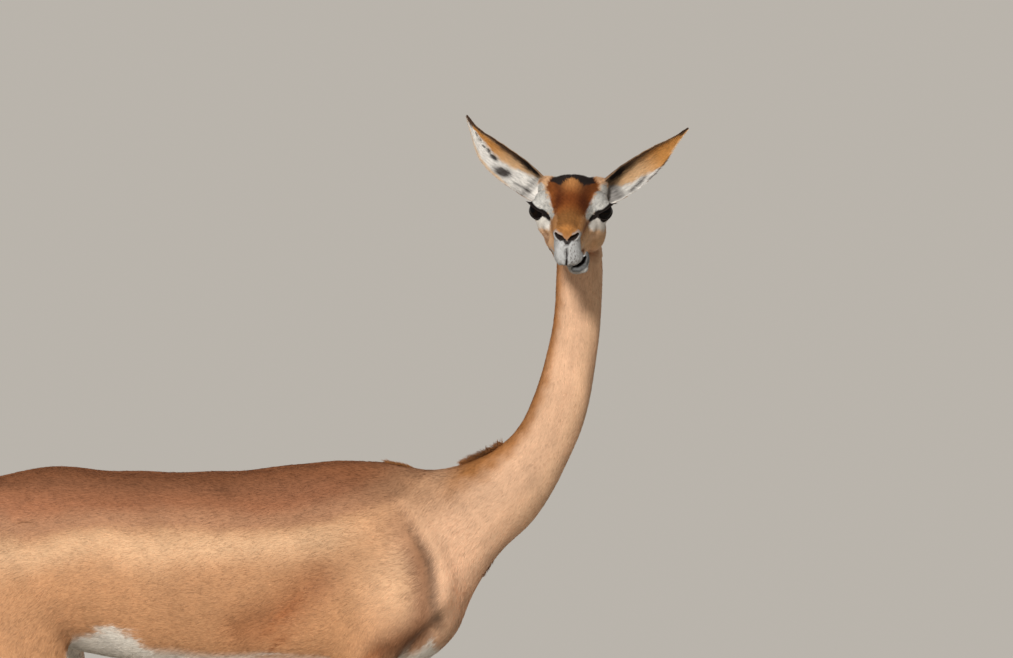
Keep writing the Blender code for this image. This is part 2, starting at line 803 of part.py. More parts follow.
def lid_opening(cutters, name, way):
    """An almond prism that opens the lids over the eyeball."""
    mesh = bmesh.new()
    frame = eye_frame(way)
    rings = []
    for depth in (2.0, 30.0):
        ring = []
        for index in range(20):
            angle = 2 * math.pi * index / 20
            along = math.cos(angle) * LID_LENGTH / 2
            lift = math.sin(angle) * (1 - 0.35 * math.cos(angle) ** 2) * LID_HEIGHT / 2
            ring.append(frame @ Vector((along, lift, depth)))
        rings.append(ring)
    loft(mesh, rings)
    mesh.transform(Matrix.Scale(MM, 4))
    return mesh_object(name, mesh, cutters)


def mouth_groove(cutters):
    mesh = bmesh.new()
    rows = smooth_rows(LIPS, 3)
    up = HEAD.to_3x3() @ Vector((0, 0, 1))
    rings = []
    for index, (f, l, u, half) in enumerate(rows):
        before = rows[max(index - 1, 0)]
        after = rows[min(index + 1, len(rows) - 1)]
        outward = Vector((after[1] - before[1], -(after[0] - before[0]), 0)).normalized()
        side = HEAD.to_3x3() @ outward
        rings.append(section(head_point(f, l, u), up, side, half, LIP_DEPTH, 2, 0, 4))
    loft(mesh, rings)
    mesh.transform(Matrix.Scale(MM, 4))
    return mesh_object("cut_mouth", mesh, cutters)


def cut_head(head, parts):
    """Open the lids, nostrils and lips, and set the eyeballs in."""
    cutters = new_collection("head_cutters")
    for way, name in ((1, "left"), (-1, "right")):
        mesh = bmesh.new()
        ball = eye_frame(way) @ Matrix.Diagonal((EYE_RADIUS + GAP, EYE_RADIUS + GAP, EYE_RADIUS + GAP, 1))
        bmesh.ops.create_uvsphere(mesh, u_segments=20, v_segments=12, radius=1.0, matrix=ball)
        mesh.transform(Matrix.Scale(MM, 4))
        mesh_object("cut_eye_" + name, mesh, cutters)
        lid_opening(cutters, "cut_lids_" + name, way)
        mesh = bmesh.new()
        centre = Vector(NOSTRIL["centre"])
        centre.y *= way
        tilt = Matrix.Rotation(way * NOSTRIL["slant"], 4, "X")
        place = HEAD @ Matrix.Translation(centre) @ tilt @ Matrix.Diagonal((*NOSTRIL["half"], 1))
        bmesh.ops.create_uvsphere(mesh, u_segments=14, v_segments=8, radius=1.0, matrix=place)
        mesh.transform(Matrix.Scale(MM, 4))
        mesh_object("cut_nostril_" + name, mesh, cutters)
    mouth_groove(cutters)
    subtract(head, cutters)
    discard(cutters)
    for way, name in ((1, "left"), (-1, "right")):
        mesh = bmesh.new()
        ball = eye_frame(way) @ Matrix.Diagonal((EYE_RADIUS, EYE_RADIUS, EYE_RADIUS, 1))
        bmesh.ops.create_uvsphere(mesh, u_segments=20, v_segments=12, radius=1.0, matrix=ball)
        mesh.transform(Matrix.Scale(MM, 4))
        finish(mesh_object("eye_" + name, mesh, parts), "eye_" + name)
    pieces = islands(head)
    finish(mesh_object("head_solid", pieces[0][2], parts), "head")
    for item in pieces[1:]:
        item[2].free()


def ear_rings(name, wall):
    """Sections of an ear, each a curved strip with a thickness, as rings of points."""
    root, tip = Vector(EARS[name]["root"]), Vector(EARS[name]["tip"])
    face = Vector(EAR_FACE[name]).normalized()
    axis = (tip - root).normalized()
    face = (face - axis * face.dot(axis)).normalized()
    across = axis.cross(face)
    if across.z < 0:
        across = -across
    rings = []
    count = 8
    for share, width, bend in smooth_rows(EAR_LEAF, 2):
        bow = EARS[name]["bow"] * math.sin(math.pi * max(share, 0.0) ** 1.5)
        centre = root + (tip - root) * share - across * bow
        bend = math.radians(bend)
        radius = width * (1 - EARS[name]["slim"] * max(share, 0.25)) / bend
        middle = centre + face * radius * 0.7
        inner, outer = [], []
        for index in range(count):
            angle = (index / (count - 1) - 0.5) * bend
            direction = across * math.sin(angle) - face * math.cos(angle)
            edge = 1 - 0.5 * abs(index / (count - 1) * 2 - 1) ** 3
            half = wall / 2 * edge * (1 - 0.45 * max(share, 0))
            inner.append(middle + direction * (radius - half))
            outer.append(middle + direction * (radius + half))
        rings.append(outer + inner[::-1])
    return rings


def make_ear(name, head, parts):
    mesh = bmesh.new()
    loft(mesh, ear_rings(name, EAR_WALL))
    bmesh.ops.triangulate(mesh, faces=mesh.faces)
    mesh.transform(Matrix.Scale(MM, 4))
    ear = mesh_object(name, mesh, parts)
    cutters = new_collection("ear_cutters")
    mesh = bmesh.new()
    mesh.from_mesh(head.data)
    mesh.normal_update()
    for vertex in mesh.verts:
        vertex.co += vertex.normal * GAP * MM
    mesh_object("head_hull", mesh, cutters)
    subtract(ear, cutters)
    discard(cutters)
    pieces = islands(ear)
    old = ear.data
    bpy.data.objects.remove(ear)
    bpy.data.meshes.remove(old)
    finish(mesh_object(name + "_solid", pieces[0][2], parts), name)
    for item in pieces[1:]:
        item[2].free()


def main():
    for thing in list(bpy.data.objects):
        bpy.data.objects.remove(thing)
    parts = new_collection(NAME)
    work = new_collection("work")
    mesh = bmesh.new()
    trunk_form(mesh)
    muscle_forms(mesh)
    for leg in STRIDE:
        leg_form(mesh, leg)
    tail_form(mesh)
    head_form(mesh)
    mesh.transform(Matrix.Scale(MM, 4))
    whole = mesh_object("whole", mesh, work)
    remesh = whole.modifiers.new("fuse", "REMESH")
    remesh.mode = "VOXEL"
    remesh.voxel_size = VOXEL * MM
    applied(whole)
    relax(whole, RELAX_STEPS, blend_weight)
    half = NECK_TOP_NORMAL * (GAP / 2)
    head = halved(whole, "head_work", NECK_TOP + half, NECK_TOP_NORMAL, work)
    body = halved(whole, "body_work", NECK_TOP - half, -NECK_TOP_NORMAL, work)
    thin_out(head, HEAD_TRIANGLES)
    thin_out(body, BODY_TRIANGLES)
    cut_body(body, parts)
    for name in EARS:
        make_ear(name, head, parts)
    cut_head(head, parts)
    for leg in STRIDE:
        for inner in (True, False):
            hoof(parts, leg, inner)
    discard(work)
    draw = random.Random(LOCK_SEED)
    neck_crest(parts, draw)
    tail_tuft(parts, draw)
    for thing in parts.objects:
        thing.data.transform(Matrix.Translation(SHIFT * MM))


main()
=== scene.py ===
"""The looks of a standing gerenuk: skin, coat, eyes, lids, hooves and the stage.

Lengths are in millimetres in the body's own frame, as in the solids, and become metres
when a piece is finished.
"""

import math
import bmesh
import bpy
import numpy as np
from mathutils import Matrix, Vector
from mathutils.bvhtree import BVHTree


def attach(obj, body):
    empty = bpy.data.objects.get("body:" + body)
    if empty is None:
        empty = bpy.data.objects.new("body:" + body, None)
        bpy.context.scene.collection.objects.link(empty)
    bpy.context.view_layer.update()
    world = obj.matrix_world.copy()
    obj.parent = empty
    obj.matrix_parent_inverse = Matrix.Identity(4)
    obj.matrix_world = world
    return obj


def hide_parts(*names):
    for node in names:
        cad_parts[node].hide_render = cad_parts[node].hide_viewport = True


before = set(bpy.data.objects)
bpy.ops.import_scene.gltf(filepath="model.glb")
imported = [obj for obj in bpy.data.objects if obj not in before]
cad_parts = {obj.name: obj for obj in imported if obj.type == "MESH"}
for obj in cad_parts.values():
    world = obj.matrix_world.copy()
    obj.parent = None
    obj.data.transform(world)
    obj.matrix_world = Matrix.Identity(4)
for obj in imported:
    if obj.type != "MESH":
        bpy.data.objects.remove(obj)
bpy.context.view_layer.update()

bl_info = {
    "name": "Gerenuk looks",
    "version": (1, 0, 0),
    "blender": (4, 5, 0),
    "location": "View3D > Sidebar > Gerenuk",
    "description": "Skin, coat, eyes, hooves and stage of a life-size gerenuk",
    "category": "Add Mesh",
}

MM = 0.001
SHIFT = Vector((2.9, 49.5, 0.0))

# Trunk and neck: back line X, Z, belly line X, Z, half width, egg shape of the section.
TRUNK = [
    (-488.6, 823.9, -475.7, 772.7, 23, 0.0),
    (-471.8, 845.8, -458.9, 721.6, 49, 0.0),
    (-426.6, 866.5, -426.6, 689.7, 67, 0.05),
    (-361.9, 880.9, -361.9, 670.8, 77, 0.08),
    (-297.3, 892.7, -297.3, 660.9, 82, 0.08),
    (-232.7, 889.2, -232.7, 649.7, 90, 0.06),
    (-168.0, 886.9, -168.0, 637.2, 97, 0.06),
    (-103.4, 887.2, -103.4, 629.8, 101, 0.08),
    (-38.8, 890.1, -38.8, 627.6, 100, 0.10),
    (25.9, 898.1, 25.9, 627.9, 94, 0.14),
    (84.0, 903.5, 84.0, 629.4, 88, 0.20),
    (142.2, 902.5, 135.7, 632.3, 81, 0.20),
    (181.0, 896.3, 187.4, 645.3, 73, 0.14),
    (200.3, 895.1, 226.2, 676.2, 65, 0.08),
    (215.9, 895.8, 245.6, 721.2, 58, 0.04),
    (230.1, 897.8, 266.3, 757.1, 53, 0.0),
    (248.2, 904.3, 293.4, 791.8, 49, 0.0),
    (268.9, 913.4, 321.9, 818.9, 45, 0.0),
    (289.5, 928.9, 351.6, 858.7, 41, 0.0),
    (302.5, 941.7, 369.7, 889.5, 38.5, 0.0),
    (315.4, 962.3, 383.9, 920.4, 36.5, 0.0),
    (327.0, 989.2, 395.5, 955.0, 35, 0.0),
    (336.1, 1014.9, 403.3, 987.0, 33.5, 0.0),
    (343.8, 1043.1, 409.7, 1030.6, 32, 0.0),
    (350.3, 1071.3, 414.3, 1066.5, 31, 0.0),
    (354.2, 1103.4, 416.9, 1103.7, 30.5, 0.0),
    (355.5, 1135.4, 418.1, 1135.7, 31, 0.0),
    (356.8, 1158.4, 418.1, 1158.7, 32, 0.0),
    (356.0, 1182.0, 415.0, 1182.0, 34, 0.0),
    (353.0, 1206.0, 405.0, 1206.0, 33, 0.0),
    (355.0, 1226.0, 400.0, 1226.0, 25, 0.0),
]
# The rows of the upper neck, which the finer head surface shares.
UPPER_NECK = TRUNK[22:]

# Legs, from the top down: X, Z, half depth, half width, distance from the middle plane.
FORELEG = [
    (160, 866, 30, 12, 30),
    (166, 820, 46, 22, 46),
    (172, 770, 60, 30, 52),
    (165, 725, 66, 33, 58),
    (140, 685, 52, 32, 60),
    (122, 650, 38, 28, 61),
    (118, 610, 30, 23, 61),
    (118, 560, 23, 18, 60),
    (118, 480, 17, 14.5, 59),
    (118, 400, 14, 13, 59),
    (118, 365, 15.5, 15.5, 59),
    (119, 340, 17, 16.5, 59),
    (117, 315, 14.5, 14.5, 59),
    (115, 285, 12, 11, 59),
    (115, 200, 11, 9.5, 59),
    (115, 125, 12, 11, 59),
    (116, 100, 15, 15, 59),
    (121, 80, 12.5, 13, 59),
    (131, 60, 11.5, 14, 59),
    (140, 42, 13, 15.5, 59),
    (148, 20, 12, 14, 59),
]
HINDLEG = [
    (-355, 826, 56, 26, 32),
    (-370, 770, 90, 38, 44),
    (-375, 715, 104, 42, 54),
    (-360, 660, 95, 40, 58),
    (-335, 610, 74, 34, 61),
    (-350, 560, 52, 27, 62),
    (-385, 510, 37, 21, 61),
    (-425, 460, 27, 16, 60),
    (-455, 425, 24, 14, 60),
    (-475, 395, 24, 15.5, 60),
    (-478, 365, 20, 15, 60),
    (-474, 330, 15, 12.5, 60),
    (-470, 250, 12.5, 10.5, 60),
    (-466, 150, 12.5, 10.5, 60),
    (-464, 118, 14, 13, 60),
    (-461, 98, 16, 15.5, 60),
    (-454, 78, 13, 13.5, 60),
    (-443, 58, 12, 14.5, 60),
    (-434, 42, 13, 15.5, 60),
    (-426, 20, 12, 14, 60),
]
# Muscles of the shoulder and haunch: X, distance out, Z, half axes.
MUSCLES = [
    (164, 44, 792, 54, 25, 74),
    (192, 46, 744, 46, 26, 54),
    (128, 59, 728, 52, 22, 54),
    (-392, 42, 770, 76, 37, 88),
    (-345, 32, 822, 86, 36, 52),
    (-405, 50, 690, 58, 34, 70),
    (-318, 58, 645, 42, 25, 66),
]
STRIDE = {
    "foreleg_left": 34.0,
    "foreleg_right": -12.0,
    "hindleg_left": -26.0,
    "hindleg_right": 30.0,
}
LEGS = tuple(STRIDE)
FORELEG_TOP = 700.0
HINDLEG_TOP = 640.0
STRIDE_FULL = 120.0
# Tail: X, Z, half depth, half width.
TAIL = [
    (-455, 848, 15, 15),
    (-484, 840, 13, 13),
    (-508, 812, 10.5, 11),
    (-518, 765, 8.5, 9),
    (-521, 710, 7, 7.5),
    (-523, 655, 6, 6.5),
    (-524, 610, 5, 5.5),
    (-524, 590, 4, 4.5),
]

# Head frame: f forward from the nape, l to the animal's left, u up.
HEAD_ORIGIN = Vector((377.2, 15.1, 1236.6))
HEAD_PITCH = math.radians(12.5)
HEAD_TURN = math.radians(5.4)
HEAD_ROLL = math.radians(-1.0)
# Skull and upper jaw: f, top u, bottom u, half width, power of the section, egg shape.
SKULL = [
    (0, 10, -24, 20, 2.0, 0.0),
    (8, 26, -36, 28, 2.1, 0.0),
    (20, 38, -47, 35, 2.6, 0.0),
    (35, 43, -53, 37.5, 2.8, 0.05),
    (50, 45, -54, 38, 2.8, 0.05),
    (65, 43.5, -52, 39, 2.6, 0.0),
    (80, 40, -49, 38, 2.4, -0.05),
    (95, 34.5, -45, 34, 2.2, -0.05),
    (110, 31, -41, 29, 2.3, 0.0),
    (130, 26.5, -37, 24, 2.3, 0.05),
    (150, 23, -34, 20.5, 2.3, 0.1),
    (170, 20.5, -32, 18.5, 2.4, 0.1),
    (190, 18.5, -31, 18, 2.4, 0.05),
    (204, 16, -32, 17.5, 2.5, 0.0),
    (213, 12, -32.5, 15.5, 2.4, 0.0),
    (219, 7, -30, 11.5, 2.2, 0.0),
    (222, 1, -24, 7, 2.0, 0.0),
]
# Lower jaw, pushed to the animal's left as it chews: f, l, top u, bottom u, half width.
JAW = [
    (45, 0, -18, -55, 26),
    (75, 0, -20, -53.5, 26),
    (100, 0, -22, -50, 22.5),
    (125, 1, -24, -47, 19),
    (150, 4.5, -26, -45.5, 16.5),
    (172, 9, -28, -45, 14.5),
    (188, 13, -30, -45.5, 13.5),
    (200, 15.5, -32, -45.5, 12.5),
    (206, 16.5, -33, -43.5, 9),
]
# Swellings on both sides of the head: f, l, u, half axes.
SWELLINGS = [
    (87, 38.8, 8.5, 18.5, 16.6, 16.2),
    (76, 33, 20, 25, 15, 12),
    (82, 31, -11, 32, 14.5, 20),
    (54, 29, -24, 36, 15.5, 27),
    (24, 30, 20, 19, 16, 18),
    (208, 9.5, 6, 11, 8, 8),
    (200, 9.5, -22, 17, 10, 11),
]
# Finer forms of the face, on both sides: cheekbone, lip lobes, wings of the nose.
FACE_PAIRS = [
    (99, 27.5, -7, 27, 9.0, 10.5),
    (206, 8.8, -17, 15, 9.4, 16.5),
    (206, 11.2, 8.0, 11.5, 7.0, 7.6),
    (150, 14, 6, 50, 8, 12),
]
# Single forms: the lower lip, its raised left side and the chin.
FACE_SINGLE = [
    (196, 15.5, -38.5, 13, 12.0, 7.2),
    (189, 24.4, -29, 12, 4.6, 11),
    (184, 12.5, -42.5, 20, 12, 6.5),
]

EYE_CENTRE = (87.0, 38.5, 9.9)
EYE_RADIUS = 14.0
EYE_YAW = math.radians(58.0)
EYE_LIFT = math.radians(7.0)
EYE_SLANT = math.radians(16.0)
# Opening of the lids: half length, rise of the upper lid, drop of the lower one.
LID_HALF = 15.6
LID_RISE = 5.2
LID_DROP = 9.8
LID_THICKNESS = 1.0
SIDES = {"left": 1, "right": -1}

# Ears: root, tip, bow of the middle line, width lost towards the tip, the way the cup faces.
EARS = {
    "right": ((333.5, -2, 1255), (244.5, -22, 1346), 10.5, 0.0, (-0.20, -0.95, -0.10)),
    "left": ((422, 4, 1251.5), (528.5, -10, 1330.5), 3.5, 0.25, (0.50, -0.84, -0.20)),
}
# Ear sections from inside the head to the tip: share of the length, unrolled width, bend.
EAR_LEAF = [
    (-0.34, 26, 300),
    (-0.14, 46, 240),
    (0.0, 58, 195),
    (0.15, 60, 172),
    (0.3, 58, 150),
    (0.5, 49, 128),
    (0.65, 36, 110),
    (0.77, 21, 98),
    (0.87, 11, 92),
    (0.94, 6, 88),
    (1.0, 2.2, 80),
]
EAR_WALL = 1.6
EAR_ROWS = 48
EAR_COLUMNS = 30

NECK_TOP = Vector((387, 0, 1164))
NECK_TOP_NORMAL = Vector((0.0, -0.3, 1.0)).normalized()

# The line of the lips in the head frame, from the right corner round to the left one.
LIPS = [
    (146, -25, -25),
    (165, -20.5, -27.5),
    (185, -18, -31),
    (200, -16, -33.5),
    (211, -10, -35),
    (216, 0, -36),
    (212, 9, -36),
]
LEFT_LIPS = [(206, 18, -31), (185, 22, -28), (160, 23, -26.5), (142, 27, -25)]
# The open part of the mouth on the left, seen along f: l, u, and its half width at each place.
MOUTH_GAP = [(8.0, -34.6), (14.0, -33.6), (19.8, -30.0), (23.6, -24.0)]
MOUTH_GAP_HALF = [0.6, 1.7, 2.4, 0.9]
LOWER_LIP = [(9, -38.5), (16, -37.5), (22.5, -33.5), (26.2, -27.0), (27, -21)]
# The dark skin from an eye to the pit before it, on the left side: f, l, u.
TEAR_LINE = [
    (100, 39.5, 11),
    (102, 36.2, 9.8),
    (103, 33, 7.8),
    (104.6, 29.8, 5.5),
    (112, 26.7, 4.6),
    (117.5, 24.8, 3.7),
]
TEAR_HALF = [3.4, 3.9, 3.8, 3.5, 3.2, 2.6]
# Brings the animal's right side (-1) onto its left one.
MIRROR = {1: np.array([1, 1, 1]), -1: np.array([1, -1, 1])}
# Grooves on both sides of the face, as lines of f, l, u: the pit before the eye, the lower edge of
# the cheekbone and the side of the nose. Each has its points, its depth and its half width.
FACE_GROOVES = [
    (TEAR_LINE[2:], 1.6, 2.0),
    ([(60, 46, -14), (96, 36, -20), (130, 24, -20)], 1.6, 5.0),
    ([(142, 22, -8), (176, 17, -8), (192, 17, -4)], 1.1, 5.0),
]
# Half width of the rust coloured forehead and bridge (second row) along the head (first row).
FOREHEAD_EDGE = (
    [20, 34, 45, 62, 93, 105, 124, 140, 167, 215],
    [23, 28, 33, 33, 27, 25, 20.5, 18, 16, 15.5],
)
# On both sides: the dark streak down the nose, partly painted shade on the side of the nose, the white
# brow and the pale patch under the eye.
NOSE_STREAK_AND_SHADE = [(118, 26, 3), (150, 20, 2), (186, 17, 6)]
BROW = [
    (14, 46, 10),
    (36, 44, 22),
    (60, 42.5, 27),
    (84, 38.5, 24),
    (99, 33, 18.5),
    (113, 26.5, 12.5),
    (128, 21, 9.5),
]
UNDER_EYE = [(45, 46, -15), (80, 47, -13), (98, 42, -4), (106, 34, -1), (124, 27, -3)]
# The folds of skin between the nostrils and the groove below them, seen along f.
NOSE_FOLD = [(-2.4, 3.0), (1.2, -1.2), (4.6, 2.8)]
LIP_GROOVE = [(1.2, -1.0), (0.9, -12), (0.0, -31)]
# Soft shifts of the face: centre, reach and move, each as f, l, u.
SHIFTS = [
    ((62, -42, -36), (48, 24, 22), (0, 6.5, 1.5)),
    ((62, 42, -36), (45, 24, 20), (0, 1.2, 0)),
    ((206, -19, -24), (18, 9, 14), (0, 3.0, 0)),
    ((206, 16, -25), (15, 6, 8), (0, 2.0, 0)),
    ((146, -19, -29), (30, 14, 15), (0, -9.5, -1.5)),
]
# Each nostril seen along f, from its outer end inwards: l, u, and its half width at each place.
NOSTRIL = [(13.8, 9.6), (12.0, 7.8), (8.4, 5.6), (3.6, 3.2)]
NOSTRIL_HALF = [1.4, 2.4, 2.8, 1.2]

LASHES = 56
FAR = 1e6
TAIL_TUFTS = 3500

HOOF_TOE = 33.0
HOOF_HEEL = -17.0
HOOF_TOE_LEAN = 23.0
HOOF_HEEL_LEAN = 3.0
HOOF_SIDE_LEAN = 2.2
HOOF_FRONT_HEIGHT = 35.0
HOOF_HEEL_HEIGHT = 19.0
HOOF_WIDTH = 14.0
HOOF_CLEFT = 1.6

# The crease between the shoulder and the neck, as a line of X, Z.
SHOULDER_CREASE = [(168, 842), (186, 812), (206, 778), (212, 742), (215, 692)]
# Painted shade on the coat behind that crease, and the hollow behind the shoulder, which is painted
# darker too.
SHOULDER_SHADE = [(160, 830), (188, 786), (199, 750), (200, 708), (186, 684), (146, 664)]
SHOULDER_HOLLOW = [(62, 752), (20, 712), (-34, 690)]
# Grooves (depth above zero) and ridges (below) of the muscles on both sides, as lines of X, Z.
# Each has its half width, its depth and its points.
RELIEF = [
    (8, 7.0, SHOULDER_CREASE),
    (24, 5.0, [(166, 800), (184, 764), (192, 716), (174, 688), (136, 668)]),
    (9, 2.2, [(118, 900), (150, 866), (172, 830)]),
    (22, 6.0, SHOULDER_HOLLOW),
    (8, 2.4, [(30, 690), (8, 668), (-8, 645)]),
    (8, 2.4, [(150, 668), (128, 655), (110, 640)]),
    (22, -2.6, [(96, 760), (60, 716)]),
    (30, -3.4, [(164, 756), (158, 742)]),
    (16, -2.0, [(120, 860), (132, 800)]),
    (13, 1.6, [(285, 800), (330, 880), (372, 960), (392, 1050), (398, 1130)]),
    (9, -1.2, [(262, 800), (312, 862), (352, 930), (374, 1030), (380, 1120)]),
    (34, 4.0, [(-228, 800), (-205, 770)]),
    (16, -3.4, [(-292, 866), (-286, 862)]),
    (12, 2.6, [(-452, 800), (-446, 740), (-424, 680), (-396, 610)]),
    (11, 2.2, [(-262, 716), (-262, 680), (-278, 636)]),
    (24, -2.4, [(-345, 760), (-350, 700)]),
]
# Where each rib's line stands at the height of the back.
RIBS = [-150 + 26 * index for index in range(8)]
# The groove before the heel's tendon, the point of the hock and the front of the knee: X, Z.
HEEL_TENDON = [(-392, 520), (-440, 452), (-470, 412)]
HOCK = [(-482, 404), (-484, 398)]
KNEE = [(128, 352), (128, 330)]

# Height of the saddle's edge and of the edge of the white belly, from the rump forwards.
SADDLE_LINE = [775, 800, 812, 814, 824, 836, 850, 872, 896, 2000]
BELLY_LINE = [600, 676, 692, 657, 640, 640, 640, 653, 673, 640]
# Painted shade in the folds of the skin behind the elbow, as lines of X, Z.
ELBOW_FOLD_SHADE = [
    [(60, 748), (20, 708), (-22, 668)],
    [(30, 690), (8, 668), (-8, 645)],
    [(150, 668), (128, 655), (110, 640)],
]

REGIONS = ("trunk", "head") + LEGS + ("tail",)
TRUNK_REGION, HEAD_REGION, TAIL_REGION = 0, 1, REGIONS.index("tail")
FORELEG_REGIONS, HINDLEG_REGIONS = (2, 3), (4, 5)
EAR_REGION = len(REGIONS)
# About how long and how far round each region is, so that the hair's grain has one scale.
REGION_LENGTHS = (1250, 270, 900, 900, 900, 900, 900)
REGION_GIRTHS = (520, 230, 95, 95, 110, 110, 50)


def colour(red, green, blue):
    return np.array((red, green, blue))


# Colours of the coat, linear.
SADDLE = colour(0.345, 0.143, 0.072)
SADDLE_EDGE = colour(0.40, 0.205, 0.115)
FAWN = colour(0.50, 0.265, 0.135)
PALE_FAWN = colour(0.68, 0.45, 0.275)
NECK_TAN = colour(0.645, 0.415, 0.275)
RUFOUS = colour(0.30, 0.105, 0.038)
WHITE = colour(0.76, 0.73, 0.68)
FACE_WHITE = colour(0.56, 0.56, 0.54)
GREY_WHITE = colour(0.36, 0.365, 0.365)
DARK = colour(0.022, 0.016, 0.015)
BROWN = colour(0.085, 0.045, 0.026)
FOREHEAD = colour(0.24, 0.072, 0.016)
FOREHEAD_DEEP = colour(0.095, 0.022, 0.005)
ORANGE_TAN = colour(0.38, 0.165, 0.048)
CHEEK = colour(0.58, 0.36, 0.205)
LIP_GREY = colour(0.47, 0.49, 0.51)
NOSE_GREY = colour(0.045, 0.04, 0.04)
# Painted highlight on the cheeks.
CHEEK_PAINTED_HIGHLIGHT = colour(0.80, 0.58, 0.42)
NAPE_RUST = colour(0.36, 0.145, 0.036)
FOREHEAD_PEAK = colour(0.66, 0.33, 0.12)
EAR_WHITE = colour(0.80, 0.79, 0.77)
EAR_BACK = colour(0.36, 0.225, 0.135)
EAR_RIM = colour(0.64, 0.48, 0.33)
EAR_TIP = colour(0.075, 0.042, 0.028)


def direction(turn, rise):
    """The way out to the animal's right, turned towards its front and raised."""
    return Vector((math.sin(turn) * math.cos(rise), -math.cos(turn) * math.cos(rise), math.sin(rise)))


def head_matrix():
    """The head's frame in the body's frame."""
    forward = direction(HEAD_TURN, -HEAD_PITCH)
    left = Vector((math.cos(HEAD_TURN), math.sin(HEAD_TURN), 0.0))
    up = forward.cross(left)
    roll = Matrix.Rotation(HEAD_ROLL, 3, forward)
    turned = Matrix((forward, roll @ left, roll @ up)).transposed().to_4x4()
    return Matrix.Translation(HEAD_ORIGIN) @ turned


HEAD = head_matrix()
HEAD_AXES = np.array(HEAD.to_3x3())


def into_head(points):
    return (points - np.array(HEAD_ORIGIN)) @ HEAD_AXES


def out_of_head(points):
    return points @ HEAD_AXES.T + np.array(HEAD_ORIGIN)


def ramp(value, start, end):
    """A smooth step from 0 at start to 1 at end."""
    share = np.clip((value - start) / (end - start), 0.0, 1.0)
    return share * share * (3.0 - 2.0 * share)


def hump(value, half):
    return np.exp(-((value / half) ** 2))


def mix(first, second, share):
    """Two colours mixed point by point."""
    return first + (second - first) * np.asarray(share)[:, None]


def unit(vectors):
    return vectors / np.maximum(np.linalg.norm(vectors, axis=1), 1e-9)[:, None]


def wobble(points, size, seed):
    """A smooth random value round 0 that changes over about the given size."""
    draw = np.random.default_rng(seed)
    total = np.zeros(len(points))
    for _ in range(7):
        way = draw.normal(size=points.shape[1])
        way *= 2 * math.pi / size * draw.uniform(0.6, 1.5) / np.linalg.norm(way)
        total += np.sin(points @ way + draw.uniform(0, 6.28))
    return total / 2.6


def path_distance(points, path):
    """How far points are from a line through a few places, and where along it they are nearest."""
    path = np.asarray(path, float)
    lengths = np.linalg.norm(np.diff(path, axis=0), axis=1)
    run = np.concatenate([[0.0], np.cumsum(lengths)])
    best = np.full(len(points), 1e9)
    place = np.zeros(len(points))
    for index, length in enumerate(lengths):
        way = path[index + 1] - path[index]
        share = np.clip((points - path[index]) @ way / length**2, 0.0, 1.0)
        gap = np.linalg.norm(points - path[index] - share[:, None] * way, axis=1)
        nearer = gap < best
        best[nearer] = gap[nearer]
        place[nearer] = ((run[index] + share * length) / run[-1])[nearer]
    return best, place


def line_half(points, path, halves):
    """How far points are from a line, and the line's half width where they are nearest."""
    gap, place = path_distance(points, path)
    return gap, np.interp(place, np.linspace(0, 1, len(halves)), halves)


def soft_line(points, path, half):
    """1 on a line through a few places, fading to 0 beside it."""
    return hump(path_distance(points, path)[0], half)


def smooth_rows(rows, steps):
    """Rows in between those of a table, on a Catmull-Rom curve."""
    table = np.array(rows, dtype=float)
    padded = np.vstack([2 * table[0] - table[1], table, 2 * table[-1] - table[-2]])
    result = []
    for index in range(1, len(padded) - 2):
        before, start, end, after = padded[index - 1 : index + 3]
        for step in range(steps):
            t = step / steps
            row = 0.5 * (
                2 * start
                + (end - before) * t
                + (2 * before - 5 * start + 4 * end - after) * t**2
                + (3 * start - before - 3 * end + after) * t**3
            )
            result.append(row)
    result.append(table[-1])
    return result


def section(centre, up, side, half_up, half_side, power=2.2, egg=0.0, count=28):
    """A closed superellipse, narrower towards up where egg is above zero."""
    points = []
    for index in range(count):
        angle = 2 * math.pi * index / count
        cosine, sine = math.cos(angle), math.sin(angle)
        rise = math.copysign(abs(cosine) ** (2 / power), cosine)
        reach = math.copysign(abs(sine) ** (2 / power), sine) * (1 - egg * rise)
        points.append(centre + up * (half_up * rise) + side * (half_side * reach))
    return points


def tube(mesh, rings, closed=False):
    """A grid laid on rings, sewn along its length and capped, or joined end to end."""
    count = len(rings[0])
    rows = rings + rings[:1] if closed else rings
    made = bmesh.ops.create_grid(mesh, x_segments=count, y_segments=len(rows) - 1, size=1.0)["verts"]
    for index, vertex in enumerate(made):
        vertex.co = rows[index // (count + 1)][index % (count + 1) % count]
    bmesh.ops.remove_doubles(mesh, verts=made, dist=1e-5)
    made = [vertex for vertex in made if vertex.is_valid]
    if not closed:
        edges = {edge for vertex in made for edge in vertex.link_edges if edge.is_boundary}
        bmesh.ops.holes_fill(mesh, edges=list(edges), sides=0)
    faces = {face for vertex in made for face in vertex.link_faces}
    bmesh.ops.recalc_face_normals(mesh, faces=list(faces))
    return made


def ball(mesh, centre, axes, matrix, segments=32, rings=20):
    place = matrix @ Matrix.Translation(centre) @ Matrix.Diagonal((*axes, 1.0))
    bmesh.ops.create_uvsphere(mesh, u_segments=segments, v_segments=rings, radius=1.0, matrix=place)


def trunk_form(mesh, table):
    rings = []
    for back_x, back_z, belly_x, belly_z, half_width, egg in smooth_rows(table, 3):
        back, belly = Vector((back_x, 0, back_z)), Vector((belly_x, 0, belly_z))
        up = (back - belly).normalized()
        half = (back - belly).length / 2
        rings.append(section((back + belly) / 2, up, Vector((0, 1, 0)), half, half_width, 2.2, egg, 56))
    tube(mesh, rings)


